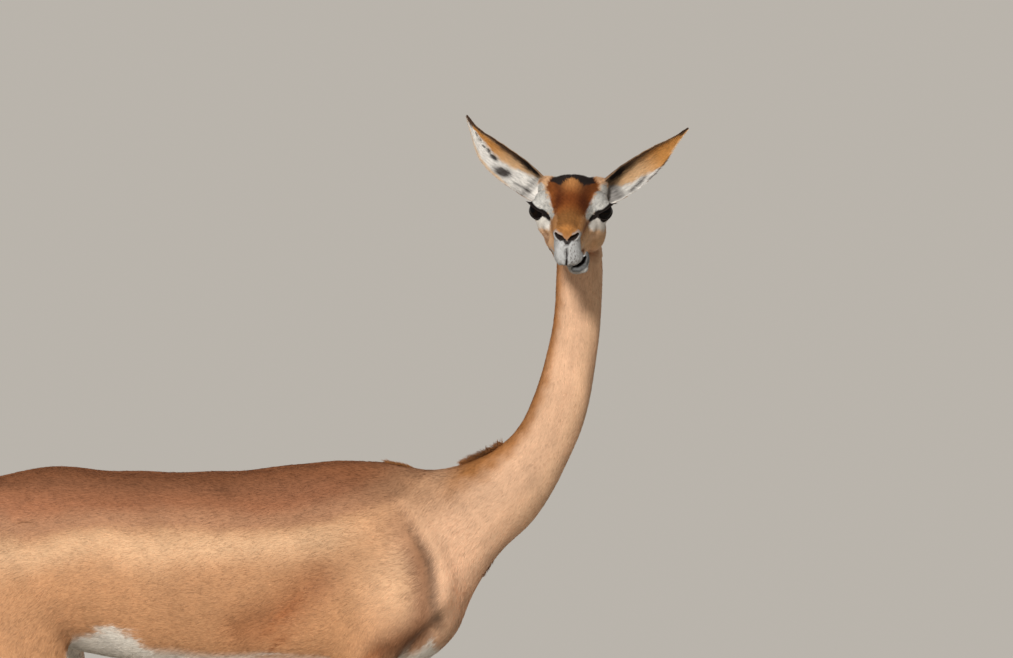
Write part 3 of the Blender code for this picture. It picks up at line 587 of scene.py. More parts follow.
def leg_rows(leg):
    """Leg sections with the stride added, rising from nothing at the top to full at the foot."""
    table = FORELEG if "fore" in leg else HINDLEG
    top = FORELEG_TOP if "fore" in leg else HINDLEG_TOP
    side = 1 if leg.endswith("left") else -1
    rows = []
    for x, z, half_depth, half_width, out in table:
        share = min(max((top - z) / (top - STRIDE_FULL), 0.0), 1.0)
        rows.append((x + STRIDE[leg] * share, z, half_depth, half_width, side * out))
    return rows


def level_form(mesh, rows, power, count):
    """A closed form on level sections: X, Z, half depth, half width and Y of each."""
    ahead, left = Vector((1, 0, 0)), Vector((0, 1, 0))
    rings = []
    for x, z, half_depth, half_width, y in smooth_rows(rows, 3):
        rings.append(section(Vector((x, y, z)), ahead, left, half_depth, half_width, power, 0, count))
    tube(mesh, rings)


def head_form(mesh, fine):
    up = HEAD.to_3x3() @ Vector((0, 0, 1))
    side = HEAD.to_3x3() @ Vector((0, 1, 0))
    rings = []
    for f, top, bottom, half_width, power, egg in smooth_rows(SKULL, 4):
        centre = HEAD @ Vector((f, 0, (top + bottom) / 2))
        rings.append(section(centre, up, side, (top - bottom) / 2, half_width, power, egg, 48))
    tube(mesh, rings)
    rings = []
    for f, l, top, bottom, half_width in smooth_rows(JAW, 4):
        centre = HEAD @ Vector((f, l, (top + bottom) / 2))
        rings.append(section(centre, up, side, (top - bottom) / 2, half_width, 2.3, 0, 40))
    tube(mesh, rings)
    for f, l, u, *axes in SWELLINGS + (FACE_PAIRS if fine else []):
        for way in SIDES.values():
            ball(mesh, (f, way * l, u), axes, HEAD)
    for f, l, u, *axes in FACE_SINGLE if fine else []:
        ball(mesh, (f, l, u), axes, HEAD)


def mesh_object(name, mesh):
    data = bpy.data.meshes.new(name)
    mesh.to_mesh(data)
    mesh.free()
    thing = bpy.data.objects.new(name, data)
    bpy.context.scene.collection.objects.link(thing)
    return thing


def in_metres(name, mesh):
    """An object made of a mesh in millimetres."""
    mesh.transform(Matrix.Scale(MM, 4))
    return mesh_object(name, mesh)


def applied(thing):
    """The object with its modifiers turned into mesh."""
    graph = bpy.context.evaluated_depsgraph_get()
    data = bpy.data.meshes.new_from_object(thing.evaluated_get(graph))
    old = thing.data
    thing.modifiers.clear()
    thing.data = data
    bpy.data.meshes.remove(old)
    return thing


def fused(name, mesh, voxel):
    """One closed surface round overlapping closed forms."""
    thing = in_metres(name, mesh)
    remesh = thing.modifiers.new("fuse", "REMESH")
    remesh.mode = "VOXEL"
    remesh.voxel_size = voxel * MM
    return applied(thing)


def places(data):
    """Places of a mesh's vertices in millimetres."""
    values = np.empty(len(data.vertices) * 3, np.float32)
    data.vertices.foreach_get("co", values)
    return values.reshape(-1, 3).astype(float) / MM


def facings(data):
    values = np.empty(len(data.vertices) * 3, np.float32)
    data.vertices.foreach_get("normal", values)
    return values.reshape(-1, 3).astype(float)


def put_places(data, points):
    data.vertices.foreach_set("co", (points * MM).astype(np.float32).ravel())
    data.update()


def relax(thing, repeats, weights):
    """Smooth a surface as freely as the weights of its vertices allow."""
    group = thing.vertex_groups.new(name="relax")
    levels = np.round(np.clip(weights, 0, 1) * 40).astype(int)
    for level in np.unique(levels):
        group.add(np.nonzero(levels == level)[0].tolist(), level / 40, "REPLACE")
    smooth = thing.modifiers.new("relax", "SMOOTH")
    smooth.factor = 0.5
    smooth.iterations = repeats
    smooth.vertex_group = group.name
    applied(thing)
    thing.vertex_groups.clear()


def thin_out(thing, triangles):
    faces = sum(len(polygon.vertices) - 2 for polygon in thing.data.polygons)
    decimate = thing.modifiers.new("thin", "DECIMATE")
    decimate.ratio = min(triangles / faces, 1.0)
    applied(thing)


def remove(thing):
    data = thing.data
    bpy.data.objects.remove(thing)
    bpy.data.meshes.remove(data)


def region_of(points):
    """Which region of the animal each point belongs to."""
    x, y, z = points.T
    region = np.zeros(len(points), int)
    above = (points - np.array(NECK_TOP)) @ np.array(NECK_TOP_NORMAL) > 0
    region[above] = HEAD_REGION
    fore = (z < 640) & (x > -20)
    hind = (z < 634 - (x + 205) * 63 / 295) & (x <= -20)
    for mask, legs in ((fore, LEGS[:2]), (hind, LEGS[2:])):
        region[mask & (y > 0)] = REGIONS.index(legs[0])
        region[mask & (y <= 0)] = REGIONS.index(legs[1])
    region[(x < -500) & (z > 500) & (np.abs(y) < 30) & (z < 835)] = TAIL_REGION
    return region


def trunk_centres():
    rows = np.array(smooth_rows(TRUNK, 3))
    centres = np.zeros((len(rows), 3))
    centres[:, 0] = (rows[:, 0] + rows[:, 2]) / 2
    centres[:, 2] = (rows[:, 1] + rows[:, 3]) / 2
    return centres


TRUNK_AXIS = trunk_centres()


def along_axis(points, axis):
    """Length along an axis at each point, and the axis' direction there."""
    steps = np.diff(axis, axis=0)
    lengths = np.linalg.norm(steps, axis=1)
    run = np.concatenate([[0.0], np.cumsum(lengths)])
    index = np.empty(len(points), int)
    for start in range(0, len(points), 20000):
        near = points[start : start + 20000]
        index[start : start + 20000] = ((near[:, None] - axis[None]) ** 2).sum(2).argmin(1)
    index = np.minimum(index, len(steps) - 1)
    heading = steps[index] / lengths[index][:, None]
    off = points - axis[index]
    return run[index] + (off * heading).sum(1), off, heading


def leg_axis(leg):
    return np.array([(x, out, z) for x, z, _, _, out in smooth_rows(leg_rows(leg), 2)])


def unwrapped(points, region):
    """Each point's place on the unrolled skin of its region, both numbers from 0 to 1."""
    result = np.zeros((len(points), 2))
    for code, name in enumerate(REGIONS):
        mask = region == code
        if not mask.any():
            continue
        some = points[mask]
        if name == "head":
            q = into_head(some)
            along, turn = (q[:, 0] + 30) / 270, np.arctan2(q[:, 1], q[:, 2] + 5)
        elif name == "tail":
            along, turn = (850 - some[:, 2]) / 320, np.arctan2(some[:, 1], some[:, 0] + 520)
        elif name == "trunk":
            length, off, heading = along_axis(some, TRUNK_AXIS)
            up = np.stack([-heading[:, 2], np.zeros(len(some)), heading[:, 0]], 1)
            along, turn = length / 1250 + 0.02, np.arctan2(off[:, 1], (off * up).sum(1))
        else:
            length, off, _ = along_axis(some, leg_axis(name))
            along, turn = length / 900, np.arctan2(off[:, 1], off[:, 0])
        result[mask] = np.stack([along, turn / (2 * math.pi) + 0.5], 1)
    return np.clip(result, 0.0, 1.0)


def lie_of_coat(points, normals, region, draw=None):
    """Which way the hair lies at each point, along the skin."""
    lie = np.zeros((len(points), 3))
    for code, name in enumerate(REGIONS):
        mask = region == code
        if not mask.any():
            continue
        some, facing = points[mask], normals[mask]
        if name == "head":
            q, n = into_head(some), facing @ HEAD_AXES
            way = np.zeros_like(q)
            way[:, 0] = -1.0
            way[:, 2] = -0.35 * ramp(q[:, 2], 0, -30) - 1.2 * ramp(q[:, 0], 26, -6)
            front = ramp(q[:, 0], 196, 222)
            way[:, 1] += front * q[:, 1] / 7
            way[:, 2] += front * (q[:, 2] + 4) / 7
            way[:, 1] += 0.45 * np.tanh(q[:, 1] / 14) * ramp(q[:, 0], 130, 60) * ramp(n[:, 2], 0.1, 0.5)
            lie[mask] = way @ HEAD_AXES.T
        elif name == "trunk":
            _, _, heading = along_axis(some, TRUNK_AXIS)
            x, _, z = some.T
            way = -heading
            flank = np.abs(facing[:, 1])
            fall = 0.25 * flank * ramp(z, 960, 860)
            fall += 1.5 * ramp(z, 800, 640) * ramp(x, -210, -300) * flank
            fall += 1.3 * ramp(z, 790, 650) * ramp(x, 60, 110) * ramp(x, 260, 220) * flank
            fall += 1.6 * ramp(x, -450, -490)
            way[:, 2] -= fall
            lie[mask] = way
        elif name == "tail":
            lie[mask] = (0.0, 0.0, -1.0)
        else:
            _, _, heading = along_axis(some, leg_axis(name))
            lie[mask] = heading
    if draw is not None:
        across = np.cross(normals, lie)
        swirl = 0.14 * wobble(points, 70, 21) + 0.10 * wobble(points, 16, 22)
        swirl = swirl + draw.normal(0, 0.10, len(points))
        lie = lie + across * swirl[:, None]
    lie -= normals * (lie * normals).sum(1)[:, None]
    return unit(lie)


def eye_frame(way):
    """A frame on the eyeball: x along the lids to the nose, y across them, z out of the eye."""
    yaw, lift = EYE_YAW, EYE_LIFT
    out = Vector((math.cos(yaw) * math.cos(lift), way * math.sin(yaw) * math.cos(lift), math.sin(lift)))
    flat = Vector((math.sin(yaw), -way * math.cos(yaw), 0.0))
    across = out.cross(flat)
    if across.z < 0:
        across = -across
    along = flat * math.cos(EYE_SLANT) - across * math.sin(EYE_SLANT)
    across = across * math.cos(EYE_SLANT) + flat * math.sin(EYE_SLANT)
    turned = Matrix((along, across, out)).transposed().to_4x4()
    centre = Vector((EYE_CENTRE[0], way * EYE_CENTRE[1], EYE_CENTRE[2]))
    return HEAD @ Matrix.Translation(centre) @ turned


def into_frame(points, matrix):
    return (points - np.array(matrix.translation)) @ np.array(matrix.to_3x3())


def into_eye(points, way):
    return into_frame(points, eye_frame(way))


def out_of_frame(points, matrix):
    return points @ np.array(matrix.to_3x3()).T + np.array(matrix.translation)


def nostril(way):
    """The line of the nostril on the side of way, seen along f."""
    return [(way * l, u) for l, u in NOSTRIL]


def lid_height(x, above):
    """Half height of the opening of the lids at a place along it."""
    share = np.clip(x / LID_HALF, -1.0, 1.0)
    shape = np.sqrt(1 - share**2)
    rise = LID_RISE * (1 - 0.1 * share)
    drop = LID_DROP * (1 + 0.38 * share) * (1 - 0.3 * share**2)
    return np.where(above, rise, drop) * shape


def lid_gap(q):
    """How far outside the opening of the lids points of an eye's frame are, negative inside."""
    x, y = q[:, 0], q[:, 1]
    return np.abs(y) - lid_height(x, y > 0) + 1.4 * np.maximum(np.abs(x) - LID_HALF, 0)


def lid_level(x, y, radius):
    """How far out the lids' edge lies over the ball, shallow at the two corners."""
    return np.sqrt(np.maximum(radius**2 - x**2 - y**2, 5.0**2))


def shape_lids(points):
    """Open the lids and lay them over the eyeball."""
    for way in SIDES.values():
        matrix = eye_frame(way)
        q = into_frame(points, matrix)
        near = (q[:, 2] > 0) & (np.hypot(q[:, 0], q[:, 1]) < 34)
        part = q[near]
        gap = lid_gap(part)
        snap = (np.abs(gap) < 0.45) & (np.abs(part[:, 0]) < LID_HALF - 1)
        part[snap, 1] -= np.sign(part[snap, 1]) * gap[snap]
        gap[snap] = 0.0
        x, y = part[:, 0], part[:, 1]
        rim = lid_level(x, y, EYE_RADIUS + LID_THICKNESS)
        rim += 0.5 * hump(gap - 1.0, 1.0)
        fold = 0.9 * hump(gap - 5.2, 1.1) * (y > 0) + 0.6 * hump(gap - 4.4, 1.0) * (y < 0)
        outside = rim + (part[:, 2] - rim) * ramp(gap, 0.0, 9.0) - fold * ramp(-np.abs(x), -20, -12)
        over = np.hypot(x, y) < EYE_RADIUS + 0.5
        outside = np.where(over, np.maximum(outside, lid_level(x, y, EYE_RADIUS + 0.8)), outside)
        inside = np.sqrt(np.maximum((EYE_RADIUS - 2.5) ** 2 - x**2 - y**2, 0.0))
        part[:, 2] = np.where(gap < -0.01, np.minimum(part[:, 2], inside), outside)
        points[near] = out_of_frame(part, matrix)
    return points


def shape_face(points, normals):
    """Carve nostrils, lips, the open side of the mouth and the hollows before the eyes."""
    q = into_head(points)
    n = normals @ HEAD_AXES
    for centre, reach, move in SHIFTS:
        q += np.outer(hump(np.linalg.norm((q - centre) / reach, axis=1), 1.0), move)
    seen = q[:, 1:]
    front = ramp(q[:, 0], 176, 192) * ramp(n[:, 0], -0.1, 0.25)
    for way in SIDES.values():
        gap, half = line_half(seen, nostril(way), NOSTRIL_HALF)
        depth = front * ramp(q[:, 0], 191, 200) * (1 - ramp(gap, half * 0.55, half + 0.9))
        q[:, 0] -= 7.5 * depth
        q[:, 1] -= way * 1.2 * depth
        q[:, 2] += 1.4 * depth
        wing = front * ramp(q[:, 0], 194, 202) * hump(gap - half - 2.2, 1.3) * (seen[:, 1] > 2)
        q[:, 0] += 0.9 * wing
    q[:, 0] -= 2.8 * front * soft_line(seen, LIP_GROOVE, 1.25)
    gap, half = line_half(seen, MOUTH_GAP, MOUTH_GAP_HALF)
    opened = front * (1 - ramp(gap, half * 0.5, half + 0.8))
    q[:, 0] -= 10.0 * opened * ramp(half, 0.6, 1.6)
    q[:, 0] += 1.2 * front * soft_line(seen, LOWER_LIP, 2.2)
    q -= n * (2.2 * soft_line(q, LIPS, 1.3))[:, None]
    for way in SIDES.values():
        for path, depth, half in FACE_GROOVES:
            q -= n * (depth * soft_line(q * MIRROR[way], path, half))[:, None]
    return out_of_head(q)


def unstrided(points, region):
    """Points with the stride of their leg taken out."""
    rest = points.copy()
    for leg in LEGS:
        mask = region == REGIONS.index(leg)
        top = FORELEG_TOP if "fore" in leg else HINDLEG_TOP
        share = np.clip((top - points[mask, 2]) / (top - STRIDE_FULL), 0, 1)
        rest[mask, 0] -= STRIDE[leg] * share
    return rest


def shape_body(points, normals, region):
    """Press in and raise the lines of muscles, ribs and tendons."""
    rest = unstrided(points, region)
    flat = rest[:, [0, 2]]
    x, z = flat.T
    side = np.abs(normals[:, 1])
    side = side * ramp(side, 0.2, 0.7)
    change = np.zeros(len(points))
    body = (region == TRUNK_REGION) | (z > 560)
    for half, depth, path in RELIEF:
        gap, place = path_distance(flat, path)
        ends = 0.35 + 0.65 * np.sin(math.pi * np.clip(place * 0.9 + 0.05, 0, 1))
        change -= depth * hump(gap, half) * ends * side * body
    for start in RIBS:
        line = start + (850 - z) * 0.35
        change += 0.7 * hump(x - line, 7) * ramp(z, 700, 740) * ramp(z, 850, 810) * side * body
    change += 2.2 * hump(points[:, 1], 5) * ramp(z, 860, 875) * ramp(x, 120, 60) * ramp(x, -470, -420)
    change += 1.1 * wobble(points, 90, 31) * (region == TRUNK_REGION) * ramp(z, 980, 900)
    legs = region >= 2
    for leg in LEGS:
        mask = region == REGIONS.index(leg)
        fore = "fore" in leg
        middle = 112.0 if fore else -472.0
        cannon = ramp(z, 310, 280) * ramp(z, 112, 135)
        change[mask] -= (1.5 * hump(x - middle, 2.6) * cannon * side)[mask]
        if not fore:
            change[mask] -= 3.0 * soft_line(flat[mask], HEEL_TENDON, 5.5) * side[mask]
            change[mask] += 1.5 * soft_line(flat[mask], HOCK, 8)
        else:
            change[mask] += 1.4 * soft_line(flat[mask], KNEE, 7)
    change *= np.where(legs & (z < 45), 0.0, 1.0)
    return points + normals * change[:, None]


def coat_depth(points, region):
    """How far the skin lies below the tips of the coat."""
    depth = np.full(len(points), 1.9)
    head = region == HEAD_REGION
    f = into_head(points)[:, 0]
    depth[head] = (0.7 + 0.8 * ramp(f, 150, 60))[head]
    depth[region >= 2] = 1.1
    depth[region == TAIL_REGION] = 0.8
    return depth * np.where(points[:, 2] < 45, 0.3, 1.0)


def body_colour(points, normals, region):
    """Markings of the trunk, neck, legs and tail, with painted shade in the crease, hollow and folds
    round the shoulder and painted light on the shoulder and chest.
    """
    rest = unstrided(points, region)
    x, y, z = rest.T
    _, off, heading = along_axis(points, TRUNK_AXIS)
    up = np.stack([-heading[:, 2], np.zeros(len(points)), heading[:, 0]], 1)
    back = (off * up).sum(1) / np.maximum(np.linalg.norm(off, axis=1), 1e-6)
    side = np.abs(normals[:, 1])
    result = np.tile(FAWN, (len(points), 1))
    line = np.interp(x, [-480, -400, -200, -90, 60, 110, 150, 180, 205, 230], SADDLE_LINE)
    line = line + 5 * wobble(points, 120, 3) + 2 * wobble(points, 24, 4)
    band = hump(z - line + 22, 24) * ramp(x, 160, 60)
    result = mix(result, PALE_FAWN, 0.75 * band)
    result = mix(result, NECK_TAN, ramp(x, 100, 240) * 0.95)
    # Painted highlight on the bulge of the shoulder.
    result = mix(result, PALE_FAWN, 0.5 * hump(np.hypot((x - 160) / 1.1, z - 750), 46))
    fade = ramp(x, 215, 90)
    tone = mix(SADDLE_EDGE, SADDLE, ramp(z - line, 12, 70 - 30 * fade) * (0.35 + 0.65 * fade))
    tone = tone * (1 - 0.4 * ramp(back, 0.7, 1.0))[:, None]
    result = mix(result, tone, ramp(z - line, -10, 10) * (0.55 + 0.40 * fade))
    flat = rest[:, [0, 2]]
    # Painted shade behind the crease of the shoulder, deepest low down.
    gap, place = path_distance(flat, SHOULDER_SHADE)
    flank = ramp(np.abs(y), 25, 45) * (region == TRUNK_REGION)
    shaded = hump(gap, np.interp(place, [0, 0.5, 1], [11, 18, 20]))
    shaded *= np.interp(place, [0, 0.3, 1], [0.25, 0.75, 0.85])
    result = mix(result, mix(RUFOUS * 0.7, RUFOUS * 0.42, place), shaded * flank)
    # Painted shade in the crease between the shoulder and the neck.
    gap, place = path_distance(flat, SHOULDER_CREASE)
    depth = np.interp(place, [0, 0.2, 0.5, 0.9, 1], [0, 0.25, 0.85, 1, 0.6])
    result = mix(result, RUFOUS * 0.17, 0.85 * hump(gap, 7) * depth * flank)
    # Painted shade in the hollow behind the shoulder.
    result = mix(result, RUFOUS * 0.9, 0.6 * soft_line(flat, SHOULDER_HOLLOW, 28) * flank)
    result = mix(result, FAWN * 0.72, 0.55 * hump(np.hypot((x - 206) / 48, (z - 874) / 36), 1.0))
    # Painted light on the front of the chest.
    result = mix(result, NECK_TAN * 1.4, 0.8 * hump(np.hypot((x - 244) / 32, (z - 738) / 56), 1.0))
    # Painted shade in the folds behind the elbow.
    folds = np.zeros(len(points))
    for path in ELBOW_FOLD_SHADE:
        gap, place = path_distance(flat, path)
        folds = np.maximum(folds, hump(gap, 7) * np.sin(math.pi * np.clip(place, 0.04, 0.96)))
    result = mix(result, RUFOUS * 1.1, 0.6 * folds * flank)
    ridge = ramp(back + 0.05 * wobble(points, 26, 9), 0.42, 0.92) * ramp(x, 205, 250)
    result = mix(result, NAPE_RUST, 0.9 * ridge)
    result = mix(result, RUFOUS, 0.35 * ramp(back, 0.90, 1.0) * ramp(x, 230, 100))
    result = mix(result, PALE_FAWN, 0.35 * ramp(-back, 0.2, 0.9) * ramp(x, 260, 330))
    belly = np.interp(x, [-300, -250, -205, -147, -60, 80, 150, 172, 204, 213], BELLY_LINE)
    under = ramp(belly - z + 4 * wobble(points, 22, 5) + 2.5 * wobble(points, 7, 10), -6, 7)
    under = np.maximum(under, ramp(-normals[:, 2], 0.62, 0.85) * ramp(z, 560, 620) * ramp(x, 230, 205))
    result = mix(result, WHITE, under * (region == TRUNK_REGION) * ramp(x, 222, 208))
    legs = (region >= 2) & (region <= 5)
    inward = -normals[:, 1] * np.sign(y)
    low = legs | ((region == TRUNK_REGION) & (z < 700))
    inner = ramp(inward, 0.15, 0.6) * ramp(z, 250, 430) * low
    shin = ramp(normals[:, 0], 0.2, 0.8) * (z < 330)
    result[legs] = mix(result, FAWN * 0.92, ramp(z, 640, 560))[legs]
    result[legs] = mix(result, RUFOUS, 0.35 * shin)[legs]
    result[legs] = mix(result, PALE_FAWN, 0.4 * ramp(z, 120, 70))[legs]
    result = mix(result, WHITE, 0.9 * inner)
    rump = np.hypot(y / 46, (z - 744) / 92) + 0.09 * wobble(points, 15, 61)
    rump = ramp(x, -444, -468) * ramp(rump, 1.04, 0.84)
    result = mix(result, WHITE, 0.92 * rump * (region != TAIL_REGION))
    tail = region == TAIL_REGION
    result[tail] = mix(result, DARK, 0.25 + 0.7 * ramp(z, 770, 700))[tail]
    knee = hump(z - 338, 22) * ramp(normals[:, 0], -0.2, 0.5) * (x > 0) * legs
    result = mix(result, BROWN, 0.55 * knee)
    tone = 1 + 0.07 * wobble(points, 140, 6) + 0.05 * wobble(points, 30, 7)
    tone = tone + 0.04 * side * wobble(points, 9, 8)
    return result * tone[:, None]


def head_colour(points, normals):
    """Markings of the head, in its own frame, with painted shade on its left side, down the nose, in the
    nostrils, in the open mouth and under the lashes, and painted light on the cheeks.
    """
    q = into_head(points)
    n = normals @ HEAD_AXES
    f, l, u = q.T
    wide = np.abs(l - 0.8)
    blur = 1.1 * wobble(points, 11, 11) + 0.6 * wobble(points, 4.5, 12)
    result = np.tile(CHEEK, (len(points), 1))
    result = mix(result, NECK_TAN, ramp(f, 40, 0) * 0.8)
    result = mix(result, NECK_TAN * 1.1, ramp(u, -34, -52) * 0.7)
    edge = np.interp(f, *FOREHEAD_EDGE)
    top = ramp(edge - wide + blur, -1.5, 1.5) * ramp(n[:, 2] + 0.55 * n[:, 0], -0.1, 0.35)
    front = mix(FOREHEAD, FOREHEAD_DEEP, hump(wide - 15, 7.5) * ramp(f, 50, 75) * ramp(f, 140, 112))
    # Painted shade on the left side of the forehead.
    front = mix(front, FOREHEAD_DEEP * 0.8, 0.6 * hump(l - 18, 9) * ramp(f, 48, 70) * ramp(f, 165, 125))
    front = mix(front, FOREHEAD_PEAK, 0.72 * hump(wide, 11.5) * ramp(f, 106, 58))
    front = mix(front, FOREHEAD_DEEP * 1.5, 0.65 * hump(wide, 13) * hump(f - 108, 17))
    front = mix(front, ORANGE_TAN * 0.72, ramp(f, 122, 165))
    front = mix(front, ORANGE_TAN * 1.25, 0.8 * ramp(f, 182, 205))
    front = front * (1 + 0.13 * wobble(q * [0.25, 1, 1], 2.4, 16))[:, None]
    result = mix(result, front, top)
    # Painted light on the lower part of the right cheek.
    low = ramp(u, -8, -24) * ramp(-l, 20, 32) * ramp(f, 140, 110)
    result = mix(result, NECK_TAN * 1.4, 0.8 * low)
    nose_side = ramp(f, 118, 150) * ramp(u, -14, -4)
    result = mix(result, ORANGE_TAN * 0.95, 0.85 * nose_side * (1 - top))
    # The dark streak down the nose, partly painted shade on the nose's side, stronger on the left side.
    streak_and_shade = np.maximum(*(soft_line(q * MIRROR[way], NOSE_STREAK_AND_SHADE, 4.6) for way in SIDES.values()))
    result = mix(result, FOREHEAD_DEEP * 1.3, (0.7 + 0.15 * np.sign(l)) * streak_and_shade * ramp(f, 194, 168))
    folded = q.copy()
    folded[:, 1] = np.abs(l)
    gap, place = path_distance(folded, BROW)
    half = np.interp(place, [0, 0.2, 0.55, 0.78, 1.0], [8, 10.5, 9.5, 8.0, 3.6])
    white = ramp(half - gap + blur, -1.3, 1.3)
    for way in SIDES.values():
        eye = into_eye(points, way)
        above = ramp(lid_gap(eye), 11, 7) * ramp(eye[:, 1], -2, 1)
        white = np.maximum(white, above * (eye[:, 2] > -6) * ramp(eye[:, 0], -20, -12))
    brow = mix(FACE_WHITE, GREY_WHITE, np.clip(0.30 + 0.4 * wobble(points, 4, 13), 0, 1))
    brow = mix(brow, DARK * 5, 0.55 * ramp(wobble(q * [0.45, 1, 1], 2.4, 53), 0.5, 1.3))
    # Painted shade: the brow is darker on the left side.
    brow *= (1 - 0.14 * ramp(l, 0, 20))[:, None]
    result = mix(result, brow, white)
    gap, place = path_distance(folded, UNDER_EYE)
    pale = ramp(np.interp(place, [0, 0.4, 0.75, 1], [5, 9.0, 9.5, 4.5]) - gap + blur, -3.5, 2.5)
    # Painted shade: the patch under the eye is darker on the left side.
    result = mix(result, FACE_WHITE * (1.1 - 0.2 * ramp(l, 0, 20))[:, None], 0.9 * pale)
    # Painted highlight: a pale spot of light on each cheek.
    for way in SIDES.values():
        light = hump(np.linalg.norm(q - [108, way * 29, -17], axis=1), 8)
        result = mix(result, CHEEK_PAINTED_HIGHLIGHT, 0.5 * light)
    lobes = np.interp(wide, [0, 7, 14, 21, 27, 31], [59, 66, 76, 67, 42, 10])
    reach = np.interp(f, [-14, 8, 32, 60], [7, 18, 25.5, 31]) + blur
    patch = ramp(lobes - f + blur, -1.6, 1.6) * ramp(f, -18, -4)
    patch = patch * ramp(reach - wide, -1.8, 1.8) * ramp(u, 12, 22)
    result = mix(result, DARK, patch)
    lip = ramp(f, 184, 196) * ramp(u, 10, 3) * (n[:, 0] > -0.4)
    lip = np.maximum(lip, ramp(f, 196, 206) * ramp(wide, 12.5, 14.5) * ramp(u, 14, 8))
    line, _ = path_distance(q, LIPS + LEFT_LIPS)
    lip = np.maximum(lip, ramp(line, 10, 6) * ramp(f + 26 * ramp(l, -6, 0), 156, 176))
    result = mix(result, FOREHEAD_DEEP * 1.4, 0.6 * hump(line, 3.5) * ramp(-l, 8, 14) * ramp(f, 172, 150))
    tall = q * [1, 1, 0.6]
    fleck = ramp(0.6 * wobble(tall, 2.6, 51) + 0.6 * wobble(tall, 1.5, 52), 0.25, 0.8)
    fleck = fleck * np.clip(0.25 + 0.75 * hump(l - 9, 9) + 0.5 * ramp(u, -6, 0), 0, 1)
    result = mix(result, mix(LIP_GREY, DARK * 4, 0.75 * fleck), lip)
    chin = ramp(f, 96, 150) * ramp(u, -33, -38)
    result = mix(result, WHITE * 0.45, 0.6 * chin)
    seen = q[:, 1:]
    ahead = ramp(f, 176, 190) * (n[:, 0] > -0.5)
    pad = ramp(f, 198, 206) * ramp(wide, 12, 8) * ramp(u, 1.5, 4.5) * ramp(u, 15, 12)
    result = mix(result, ORANGE_TAN * 0.9, 0.8 * pad)
    result = mix(result, NOSE_GREY, ahead * ramp(path_distance(seen, NOSE_FOLD)[0], 2.9, 1.6))
    result = mix(result, DARK, ahead * ramp(path_distance(seen, LIP_GROOVE)[0], 1.9, 0.7))
    for way in SIDES.values():
        gap, half = line_half(seen, nostril(way), NOSTRIL_HALF)
        ring = ramp(f, 196, 202) * hump(gap - half - 1.9, 1.2) * ramp(wide, 4, 8)
        result = mix(result, LIP_GREY * 0.85, 0.65 * ring)
        # Painted shade inside the nostril.
        result = mix(result, DARK, ramp(f, 190, 196) * ramp(gap - half, 1.1, 0.1))
    gap, _ = path_distance(seen, LOWER_LIP)
    result = mix(result, LIP_GREY * 0.25, ahead * ramp(gap, 4.4, 3.0) * ramp(f, 176, 184))
    # Painted shade inside the open side of the mouth.
    gap, half = line_half(seen, MOUTH_GAP, MOUTH_GAP_HALF)
    result = mix(result, DARK * 0.8, ahead * ramp(gap - half, 0.9, 0.0))
    result = mix(result, DARK * 1.5, ramp(path_distance(q, LIPS)[0], 2.4, 1.0) * 0.9)
    for way in SIDES.values():
        eye = into_eye(points, way)
        gap = lid_gap(eye)
        # Dark skin round the lids, with a wider band on the upper lid that is painted shade under the
        # lashes.
        inner = (1.8 + 0.8 * way) * ramp(eye[:, 0], -6, 11) * (eye[:, 1] < 0)
        edge = ramp(gap - 0.8 * (eye[:, 1] > 0) - inner, 2.4, 1.2) * ramp(eye[:, 0], -18, -16)
        result = mix(result, DARK * 0.4, edge * (eye[:, 2] > 0) * (eye[:, 0] < 22))
        gap, half = line_half(q * MIRROR[way], TEAR_LINE, TEAR_HALF)
        result = mix(result, DARK * 0.5, ramp(gap - half, 0.8, -0.6))
    tone = 1 + 0.06 * wobble(points, 34, 14) + 0.06 * wobble(points, 6, 15)
    return np.clip(result * tone[:, None], 0.004, 0.9)


def coat_colour(points, normals, region):
    result = body_colour(points, normals, region)
    head = region == HEAD_REGION
    result[head] = head_colour(points[head], normals[head])
    join = (points - np.array(NECK_TOP)) @ np.array(NECK_TOP_NORMAL)
    near = head & (join < 26)
    if near.any():
        below = body_colour(points[near], normals[near], np.zeros(near.sum(), int))
        result[near] = mix(below, result[near], ramp(join[near], 0, 24))
    return result


def ear_frame(side):
    root, tip, bow, slim, face = EARS[side]
    root, tip, face = Vector(root), Vector(tip), Vector(face).normalized()
    axis = (tip - root).normalized()
    face = (face - axis * face.dot(axis)).normalized()
    across = axis.cross(face)
    if across.z < 0:
        across = -across
    return root, tip, bow, slim, np.array(face), np.array(across)


EAR_TABLE = np.array(smooth_rows(EAR_LEAF, 6))


def ear_sheet(side, share, across):
    """Points of an ear's middle sheet and the direction out of its cup, by share and place across."""
    root, tip, bow, slim, face, wide = ear_frame(side)
    width = np.interp(share, EAR_TABLE[:, 0], EAR_TABLE[:, 1])
    bend = np.radians(np.interp(share, EAR_TABLE[:, 0], EAR_TABLE[:, 2]))
    centre = np.array(root) + np.outer(share, np.array(tip - root))
    centre -= np.outer(bow * np.sin(math.pi * np.maximum(share, 0) ** 1.5), wide)
    radius = width * (1 - slim * np.maximum(share, 0.25)) / bend
    angle = across * bend / 2
    outer = np.sin(angle)[:, None] * wide - np.cos(angle)[:, None] * face
    ripple = 0.15 * np.sin(share * 47 + 2 * across) * np.abs(across) ** 3
    return centre + face * (radius * 0.7)[:, None] + outer * (radius + ripple)[:, None], -outer


def ear_wall(share, across):
    return EAR_WALL / 2 * (1 - 0.5 * np.abs(across) ** 3) * (1 - 0.45 * np.maximum(share, 0))


